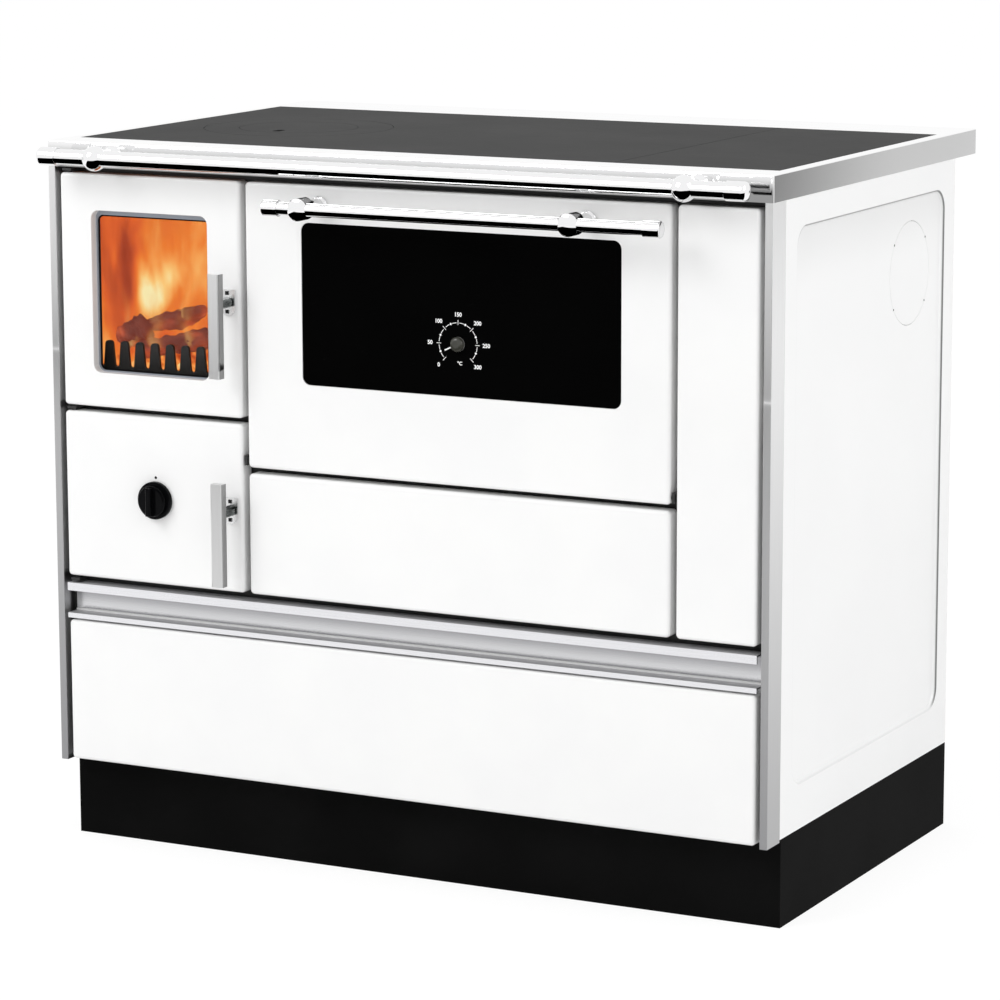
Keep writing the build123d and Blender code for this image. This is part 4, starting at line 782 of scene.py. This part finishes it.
def build_logs():
    """Lumpy logs: a circle carried along a line, its radius a sum of sines that ends in points.

    Each is listed with its two ends, its radius and its phase, in millimetres.
    """
    turn, along = np.meshgrid(np.linspace(0, 2 * np.pi, 48, endpoint=False), np.linspace(0, 1, 70))
    logs = [
        ((-403, 52, 607), (-366, 58, 631), 14, 0.0),
        ((-382, 66, 623), (-314, 108, 646), 9, 2.1),
        ((-380, 50, 603), (-290, 80, 612), 12, 4.0),
        ((-372, 150, 600), (-284, 205, 604), 20, 1.3),
        ((-392, 205, 604), (-300, 260, 606), 22, 3.0),
    ]
    grids = []
    for start, end, radius, phase in logs:
        start, end = np.array(start, float), np.array(end, float)
        axis = (end - start) / np.linalg.norm(end - start)
        side = np.cross(axis, (0, 0, 1))
        side /= np.linalg.norm(side)
        over = np.cross(side, axis)
        bumps = 0.12 * np.sin(2 * turn + 5 * along + phase) + 0.09 * np.sin(5 * turn - 9 * along + phase)
        bumps += 0.06 * np.sin(3 * turn + 23 * along) + 0.14 * np.sin(7 * along + 2 * phase)
        bumps += 0.06 * np.sin(7 * turn + 29 * along + phase) + 0.05 * np.sin(4 * turn - 43 * along)
        thick = radius * (1 + bumps + 0.3 * (along - 0.5)) * np.sqrt(1 - np.abs(2 * along - 1) ** 6)
        spread = np.cos(turn)[..., None] * side + np.sin(turn)[..., None] * over
        centre = start + (end - start) * along[..., None]
        centre[..., 2] += 3 * np.sin(4 * along + phase)
        grids.append(model_frame(*np.moveaxis(centre + thick[..., None] * spread, -1, 0)))
    grid_piece("logs", np.stack(grids), "charred_wood", "stove", ring=True)


def heap(name, low, high, base, rise, finish):
    """A closed heap: a field of sines over a rectangle, sunk to its base all round, with a flat underside."""
    u, v = np.meshgrid(np.linspace(0, 1, 90), np.linspace(0, 1, 150))
    x = low[0] + (high[0] - low[0]) * u
    y = low[1] + (high[1] - low[1]) * v
    edge = np.minimum(1, 14 * np.minimum(u, 1 - u)) * np.minimum(1, 18 * np.minimum(v, 1 - v))
    field = 0.6 + 0.16 * np.sin(21 * u + 3 * np.sin(9 * v)) + 0.14 * np.sin(31 * v + 4 * np.sin(7 * u))
    field += 0.1 * np.sin(53 * u + 11) * np.sin(47 * v + 5)
    top = np.stack([x, y, base + rise * field * np.sqrt(edge)], -1)
    under = np.stack([x, y, base + 0 * u], -1)[:, ::-1]
    grid_piece(name, np.concatenate([top, under], axis=1), finish, "stove", ring=True)


build_flame_curtain()
build_flame_tongues()
build_logs()
front_left = (grate_low.x + 2 * mm, guard_back + 3 * mm)
back_right = (grate_high.x - 2 * mm, grate_high.y - 60 * mm)
heap("embers", front_left, back_right, grate_high.z - 2 * mm, 34 * mm, "ember_bed")
pan_low, pan_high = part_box("ash_pan")
front_left = (pan_low.x + 3 * mm, pan_low.y + 14 * mm)
back_right = (pan_high.x - 3 * mm, pan_high.y - 3 * mm)
heap("ash", front_left, back_right, pan_low.z + 1.3 * mm, 24 * mm, "cold_ash")


# ---------------------------------------------------------------- the thermometer's scale
def build_scale():
    """White marks on the black glass over three quarters of a turn: lines at the numbers, dots between."""
    middle_x, middle_z = dial_middle[0], dial_middle[2]
    glass_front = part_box("oven_door_glass")[0].y - 0.06 * mm
    ring, thin = 24.3 * mm, 0.35 * mm
    numbers = range(0, 301, 50)
    start, sweep = np.radians(225), np.radians(270)
    angles = start - sweep * np.linspace(0, 1, len(numbers))
    step = angles[0] - angles[1]

    def mark(angle, near, far, width):
        """A bar across or along the ring: a small grid in polar form that faces forward."""
        turn, radius = np.meshgrid(angle + np.linspace(0.5, -0.5, 6) * width, np.linspace(near, far, 2))
        x, z = middle_x + radius * np.cos(turn), middle_z + radius * np.sin(turn)
        return np.stack([x, glass_front + 0 * turn, z], -1)

    lines = [mark(angle, ring - 2.6 * mm, ring + 3.2 * mm, 0.026) for angle in angles]
    dots = []
    for first in angles[:-1]:
        for part in (0.25, 0.75):
            lines.append(mark(first - step * part, ring - thin, ring + thin, step * 0.3))
        half_way = first - step / 2
        place = (middle_x + ring * np.cos(half_way), glass_front, middle_z + ring * np.sin(half_way))
        dots.append(disc_grid(place, 1.25 * mm, "Y", 20))
    grid_piece("scale_lines", np.stack(lines), "dial_white", "oven_door")
    grid_piece("scale_dots", np.stack(dots), "dial_white", "oven_door")
    for number, angle in zip(numbers, angles):
        spread = 33.5 * mm + 2.4 * mm * abs(np.cos(angle))
        where = (middle_x + spread * np.cos(angle), glass_front, middle_z + spread * np.sin(angle))
        print_text(f"scale_{number}", str(number), where, 6.4 * mm)
    print_text("scale_unit", "\u00b0C", (middle_x + 2 * mm, glass_front, middle_z - 22 * mm), 5.6 * mm)


def print_text(name, words, where, size):
    """Printed figures: a text made into a mesh, stood upright and put in its place."""
    text = bpy.data.curves.new(name, "FONT")
    text.body = words
    text.size = size
    text.align_x = text.align_y = "CENTER"
    text.offset = size * 0.03
    text.resolution_u = 3
    holder = placed(name + "_text", text)
    bpy.context.view_layer.update()
    mesh = bpy.data.meshes.new_from_object(holder)
    bpy.data.objects.remove(holder)
    mesh.transform(Matrix.Translation(where) @ Matrix.Rotation(np.pi / 2, 4, "X"))
    mesh.materials.clear()
    finished(name, mesh, "dial_white", "oven_door")


build_scale()


# ---------------------------------------------------------------- seals and prints
def rounded_loop(low, high, radius, count):
    """Even points round a rectangle with round corners, and the outward direction and the way at each."""
    steps = 30
    quarter = np.linspace(0, np.pi / 2, steps)
    turn = np.concatenate([quarter + corner * np.pi / 2 for corner in range(4)])
    corner_x = np.repeat([high[0] - radius, low[0] + radius, low[0] + radius, high[0] - radius], steps)
    corner_z = np.repeat([high[1] - radius, high[1] - radius, low[1] + radius, low[1] + radius], steps)
    outline = np.stack([corner_x + radius * np.cos(turn), corner_z + radius * np.sin(turn)], -1)
    outline = np.concatenate([outline, outline[:1]])
    way = np.concatenate([[0], np.cumsum(np.linalg.norm(np.diff(outline, axis=0), axis=1))])
    even = np.linspace(0, way[-1], count, endpoint=False)
    points = np.stack([np.interp(even, way, outline[:, axis]) for axis in (0, 1)], -1)
    angle = np.interp(even, way, [*turn, 2 * np.pi])
    return points, np.stack([np.cos(angle), np.sin(angle)], -1), even


def build_seal(node, body):
    """Braided cord laid in a loop: an oval section, fluted by strands that wind both ways along the loop."""
    low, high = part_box(node)
    inset = 3.5 * mm
    inner_low, inner_high = (low.x + inset, low.z + inset), (high.x - inset, high.z - inset)
    points, outward, way = rounded_loop(inner_low, inner_high, 7 * mm, 900)
    turn = np.linspace(0, 2 * np.pi, 28, endpoint=False)
    pitch = 9 * mm
    winding = 2 * np.pi * np.round(way[-1] / pitch) * way / (way[-1] + way[1])
    flute = 1 - 0.07 + 0.07 * np.cos(5 * turn - winding[:, None])
    flute = flute * (1 - 0.05 + 0.05 * np.cos(5 * turn + winding[:, None]))
    across = inset * flute * np.cos(turn)
    x = points[:, :1] + outward[:, :1] * across
    y = (low.y + high.y) / 2 + (high.y - low.y) / 2 * flute * np.sin(turn)
    z = points[:, 1:] + outward[:, 1:] * across
    loop = np.stack([x, y, z], -1)
    loop = np.concatenate([loop, loop[:1]])
    piece = grid_piece(node + "_rope", loop, "rope", body, ring=True)
    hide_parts(node)


def build_glass_border():
    """The black print round the edge of the fire window's glass: a thin flat ring just in front of it."""
    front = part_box("fire_door_glass")[0].y - 0.05 * mm
    low = (bezel_low.x + 7 * mm, bezel_low.z + 7 * mm)
    high = (bezel_high.x - 7 * mm, bezel_high.z - 11 * mm)
    outer, facing, _ = rounded_loop(low, high, 9 * mm, 400)
    inner = outer - facing * 2.9 * mm
    rows = [np.stack([line[:, 0], np.full(len(line), front), line[:, 1]], -1) for line in (outer, inner)]
    ring = np.stack([np.concatenate([row, row[:1]]) for row in rows])
    grid_piece("glass_border", ring, "black_print", "fire_door")


def build_marks():
    """The printed index dot above the air control, and four black discs of painted shade where the flue
    knock-out is held, for the dark of its small gaps.
    """
    x, _, z = joint_place["air_knob_turn"]
    dot = disc_grid((x, door_face - 0.05 * mm, z + 27 * mm), 1.7 * mm, "Y")
    grid_piece("index_dot", dot, "black_print", "ash_door")
    low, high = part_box("flue_blank")
    middle_y, middle_z = (low.y + high.y) / 2, (low.z + high.z) / 2
    reach = (high.z - low.z) / 2 + 0.3 * mm
    # painted shade: black discs in place of the dark gaps round the knock-out
    gap_shade_discs = []
    for turn in np.radians([38, 142, 218, 322]):
        place = (high.x + 0.1 * mm, middle_y + reach * np.cos(turn), middle_z + reach * np.sin(turn))
        gap_shade_discs.append(disc_grid(place, 1.3 * mm, "X"))
    grid_piece("knockout_nibs", np.stack(gap_shade_discs), "black_print", "stove")


build_seal("fire_door_gasket", "fire_door")
build_seal("ash_door_gasket", "ash_door")
build_seal("oven_door_gasket", "oven_door")
build_glass_border()
build_marks()


# ---------------------------------------------------------------- rails
def arc(middle_along, middle_reach, radius, start, end, count=16):
    """Points along an arc of an outline, between two angles in degrees."""
    turn = np.radians(np.linspace(start, end, count))
    return [(middle_along + radius * np.cos(a), middle_reach + radius * np.sin(a)) for a in turn]


def held(outline):
    """An outline with two more points near the ends of each long stretch, so that flat parts stay flat."""
    long, close = 0.8, 0.06
    points = [outline[0]]
    for near, far in zip(outline[:-1], outline[1:]):
        way = np.subtract(far, near)
        length = np.hypot(*way)
        if length > long:
            points += [tuple(near + way * close / length), tuple(far - way * close / length)]
        points.append(far)
    return points


def turned(name, outline, places, axis, body):
    """A polished piece turned about an axis, copied to each (place, direction).

    Its outline is a line of (along, reach) in millimetres.
    """
    along, reach = np.array(held(outline)).T[:, :, None] * mm
    turn = np.linspace(0, 2 * np.pi, 96, endpoint=False)
    grids = []
    for (x, y, z), direction in places:
        if axis == "X":
            grid = [x + direction * along + 0 * turn, y + reach * np.cos(turn), z + reach * np.sin(turn)]
        else:
            grid = [x + reach * np.cos(turn), y + direction * along + 0 * turn, z + reach * np.sin(turn)]
        grids.append(np.stack(grid, -1))
    return grid_piece(name, np.stack(grids), "chrome", body, ring=True)


def bar_outline(length, radius, edge=0.4):
    """A rail's bar with broken edges."""
    near, far = [(0, 0), (0, radius - edge), (edge, radius)], [(length, radius - edge), (length, 0)]
    return [*near, (length - edge, radius), *far]


def cap_outline(length, radius, depth):
    """A rail's end cap from its domed end, half an ellipse of that depth, to its open end."""
    end = [(depth + depth * cos, radius * sin) for cos, sin in arc(0, 0, 1, 180, 90, 28)]
    return [*end, (length - 0.5, radius), (length, radius - 0.5), (length, 0)]


def bar_and_caps(name, bar_ends, fitting_ends, radius, cap_size, body):
    """The bar of a rail and the domed caps at the ends of its fittings; gives the bar and its y and z."""
    low, high = bar_ends
    y, z = (low.y + high.y) / 2, (low.z + high.z) / 2
    outline = bar_outline((high.x - low.x) / mm, radius)
    bar = turned(name + "_bar", outline, [((low.x, y, z), 1)], "X", body)
    caps = [((fitting_ends[0].x, y, z), 1), ((fitting_ends[1].x, y, z), -1)]
    turned(name + "_caps", cap_outline(*cap_size), caps, "X", body)
    return bar, y, z


def build_rails():
    """Both rails with their fittings, as smooth turned pieces of the sizes of the parts they stand for."""
    fitting_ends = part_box("towel_rail_fittings")
    bar, y, z = bar_and_caps("towel_rail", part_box("towel_rail"), fitting_ends, 9.5, (27, 11, 6), "stove")
    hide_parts("towel_rail")
    inset = 77.6 * mm
    brackets = [fitting_ends[0].x + inset, fitting_ends[1].x - inset]
    outline = arc(0, 0, 14.8, 180, 0, 48)
    ball = turned("towel_rail_balls", outline, [((x, y, z), 1) for x in brackets], "X", "stove")
    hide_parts("towel_rail_fittings")
    post = [(0, 0), (0, 13), (8.5, 8.5), (36, 8.5), (36, 0)]
    turned("towel_rail_posts", post, [((x, door_face, z), -1) for x in brackets], "Y", "stove")

    fitting_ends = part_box("oven_rail_fittings")
    cap_size = (22, 9.5, 3.4)
    bar, y, z = bar_and_caps("oven_rail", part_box("oven_rail"), fitting_ends, 7.75, cap_size, "oven_door")
    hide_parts("oven_rail")
    dome = 34.0
    edge = np.degrees(np.arcsin(11.8 / dome))
    boss = [*arc(dome, 0, dome, 180, 180 - edge, 24), (3.3, 13), (21.6, 13), (22, 12.6)]
    stem_and_foot = [(22, 9), (52, 9), (52, 10.6), (52.4, 11), (55, 11), (55, 0)]
    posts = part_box("oven_door_panel")[0].x + np.array([99.9, 440.9]) * mm
    places = [((x, fitting_ends[0].y, z), 1) for x in posts]
    bosses = turned("oven_rail_bosses", boss + stem_and_foot, places, "Y", "oven_door")
    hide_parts("oven_rail_fittings")


build_rails()


# ---------------------------------------------------------------- screws
def screw_heads(name, places, size, body):
    """Pan heads with a six-sided socket: one profile turned about its axis, copied to each place."""
    socket = [(0.0, 0.16), (0.36, 0.16), (0.38, 0.5)]
    head = [(0.44, 0.54), (0.7, 0.5), (0.9, 0.36), (1.0, 0.16), (1.0, 0.0), (0.0, 0.0)]
    profile = np.array(socket + head) * size / 2
    turn = np.linspace(0, 2 * np.pi, 24, endpoint=False)
    six = np.cos(np.pi / 6) / np.cos((turn % (np.pi / 3)) - np.pi / 6)
    shape = np.where(np.arange(len(profile))[:, None] < len(socket), six, 1.0)
    across = profile[:, :1] * shape * np.cos(turn)
    over = profile[:, :1] * shape * np.sin(turn)
    out = np.repeat(profile[:, 1:], len(turn), axis=1)
    grids = [np.stack([x + across, y + out, z + over], -1) for x, y, z in places]
    grid_piece(name, np.stack(grids), "screw_zinc", body, ring=True)


def along_edges(low, high, inset, spacing):
    """Places evenly spaced along the four edges of the back of a box."""
    x_count = int((high.x - low.x - 2 * inset) / spacing) + 1
    z_count = int((high.z - low.z - 2 * inset) / spacing) + 1
    xs = np.linspace(low.x + inset, high.x - inset, x_count + 1)
    zs = np.linspace(low.z + inset, high.z - inset, z_count + 1)
    rows = [(x, high.y, z) for x in xs for z in (zs[0], zs[-1])]
    return rows + [(x, high.y, z) for x in (xs[0], xs[-1]) for z in zs[1:-1]]


back_low, back_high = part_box("back_panel")
screw_heads("back_screws", along_edges(back_low, back_high, 9 * mm, 150 * mm), 8 * mm, "stove")
collar_low, collar_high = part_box("flue_collar")
collar_x, collar_z = (collar_low.x + collar_high.x) / 2, (collar_low.z + collar_high.z) / 2
flange_radius = (collar_high.x - collar_low.x) / 2 - 7.5 * mm
flange_back = back_high.y + 3 * mm
flange_places = [
    (collar_x + flange_radius * np.cos(turn), flange_back, collar_z + flange_radius * np.sin(turn))
    for turn in np.radians([45, 135, 225, 315])
]
screw_heads("collar_screws", flange_places, 7 * mm, "stove")
for body in ("fire_door", "ash_door", "oven_door"):
    plate = body + "_frame"
    low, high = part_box(plate)
    screw_heads(plate + "_screws", along_edges(low, high, 6 * mm, 160 * mm), 6 * mm, body)


def build_latch_screws(door):
    """The two square black screws of a latch plate: a bevelled square carried up from the plate's face."""
    spindle = joint_place[door + "_handle_turn"]
    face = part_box(door + "_latch_plate")[0].y
    side, apart = 2.5 * mm, 10.9 * mm
    turn = np.radians([45, 135, 225, 315])
    head = [(0.0, 0.0), (side, 0.0), (side, 0.4 * mm), (side - 0.5 * mm, 0.7 * mm)]
    recess = [(side * 0.45, 0.7 * mm), (side * 0.4, 0.2 * mm), (0.0, 0.2 * mm)]
    reach, out = np.array(head + recess).T[:, :, None]
    across, over = 1.2 * reach * np.cos(turn), 1.2 * reach * np.sin(turn)
    x, y, z = spindle[0] + across, face - out + 0 * turn, spindle[2] + over
    grids = np.stack([np.stack([x, y, z + shift], -1) for shift in (-apart, apart)])
    grid_piece(door + "_latch_screws", grids, "black_oxide", door + "_door", ring=True)


build_latch_screws("fire")
build_latch_screws("ash")


# ---------------------------------------------------------------- studio and camera
def stage_sheet(name, corners, paint):
    """A flat four-cornered sheet of the studio."""
    mesh = bpy.data.meshes.new(name)
    mesh.from_pydata(corners, [], [(0, 1, 2, 3)])
    mesh.materials.append(paint)
    made = placed(name, mesh)
    made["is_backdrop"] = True
    return made


def floor_white(s):
    """White floor that shows nearly pure white to the camera and to mirrors, and keeps a soft shadow."""
    camera = s.node("ShaderNodeLightPath")
    glossy = s.node("ShaderNodeLightPath", out=3)
    matt = s.node("ShaderNodeBsdfDiffuse", {"Color": grey(0.9)})
    plain = s.node("ShaderNodeEmission", {"Color": grey(1.0), "Strength": 1.08})
    return s.node("ShaderNodeMixShader", {0: camera.largest(glossy) * 0.8, 1: matt, 2: plain})


def card_paint(name, near, far):
    """A studio card that mirrors show from one level at its front to another at its back."""
    return material(name, lambda s: {
        "Base Color": grey(0.0),
        "Specular IOR Level": 0.0,
        "Emission Color": s.axes()[1].between(1.9, 2.75).mix(grey(near), grey(far)),
        "Emission Strength": 1.0,
    })


def studio_light(s):
    """Even white surroundings: full white to the camera, mirrors and glass, a plain level to the rest."""
    plain_level = 0.76
    camera = s.node("ShaderNodeLightPath")
    glossy = s.node("ShaderNodeLightPath", out=3)
    through = s.node("ShaderNodeLightPath", out=6)
    shown = camera.largest(glossy).largest(through)
    level = shown * (1.0 - plain_level) + plain_level
    return s.node("ShaderNodeBackground", {"Color": grey(1.0), "Strength": level})


def soft_lamp(name, place, target, size, power):
    """A square soft box, aimed at a target."""
    lamp = bpy.data.lights.new(name, "AREA")
    lamp.shape = "SQUARE"
    lamp.size = size
    lamp.energy = power
    placed(name, lamp).matrix_world = looking(place, np.subtract(target, place))


def looking(place, direction, roll=0.0):
    """The matrix of a camera or lamp at a place that looks along a direction, level but for its roll."""
    ahead = np.array(direction, float)
    ahead /= np.linalg.norm(ahead)
    right = np.cross(ahead, (0, 0, 1))
    right /= np.linalg.norm(right)
    up = np.cross(right, ahead)
    matrix = np.eye(4)
    matrix[:3, 0] = np.cos(roll) * right + np.sin(roll) * up
    matrix[:3, 1] = np.cos(roll) * up - np.sin(roll) * right
    matrix[:3, 2] = -ahead
    matrix[:3, 3] = place
    return Matrix(matrix.tolist())


def photo_camera():
    """A long lens at the right of the stove, looking slightly down."""
    place = (2.19296, -4.27281, 1.2979)
    yaw, pitch, roll = np.radians((27.279, 10.466, -0.147))
    lens = bpy.data.cameras.new("camera")
    lens.sensor_width = 36.0
    lens.lens = 145.66
    lens.clip_end = 200.0
    made = placed("camera", lens)
    direction = (-np.sin(yaw) * np.cos(pitch), np.cos(yaw) * np.cos(pitch), -np.sin(pitch))
    made.matrix_world = looking(place, direction, roll)
    bpy.context.scene.camera = made


bpy.context.scene.world = shaded(bpy.data.worlds.new("studio"), "ShaderNodeOutputWorld", studio_light)
floor = shaded(bpy.data.materials.new("floor_white"), "ShaderNodeOutputMaterial", floor_white)
reach = 45.0
stage_sheet("floor", [(-reach, -reach, 0), (reach, -reach, 0), (reach, reach, 0), (-reach, reach, 0)], floor)
dark_card = stage_sheet(
    "dark_card",
    [(-2.45, -3.49, 0.018), (2.5, -3.49, 0.018), (2.5, -0.29, 0.6), (-0.66, -0.29, 0.6)],
    card_paint("card_black", 0.0, 0.0),
)
side_card = stage_sheet(
    "side_card",
    [(1.5, 1.2, 0.5), (1.5, 3.2, 0.5), (1.5, 3.2, 0.74), (1.5, 1.2, 0.74)],
    card_paint("card_grey", 0.2, 0.62),
)
for card in (dark_card, side_card):
    card.visible_camera = False
    card.visible_diffuse = False
    card.visible_shadow = False
    card.visible_transmission = False
soft_lamp("key", (-2.2, -3.4, 3.4), (0, 0, 0.5), 2.2, 84.0)
soft_lamp("fill", (3.6, -0.6, 2.6), (0, 0, 0.5), 2.0, 38.0)
photo_camera()
bpy.context.scene.view_settings.view_transform = "Standard"

low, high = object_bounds()
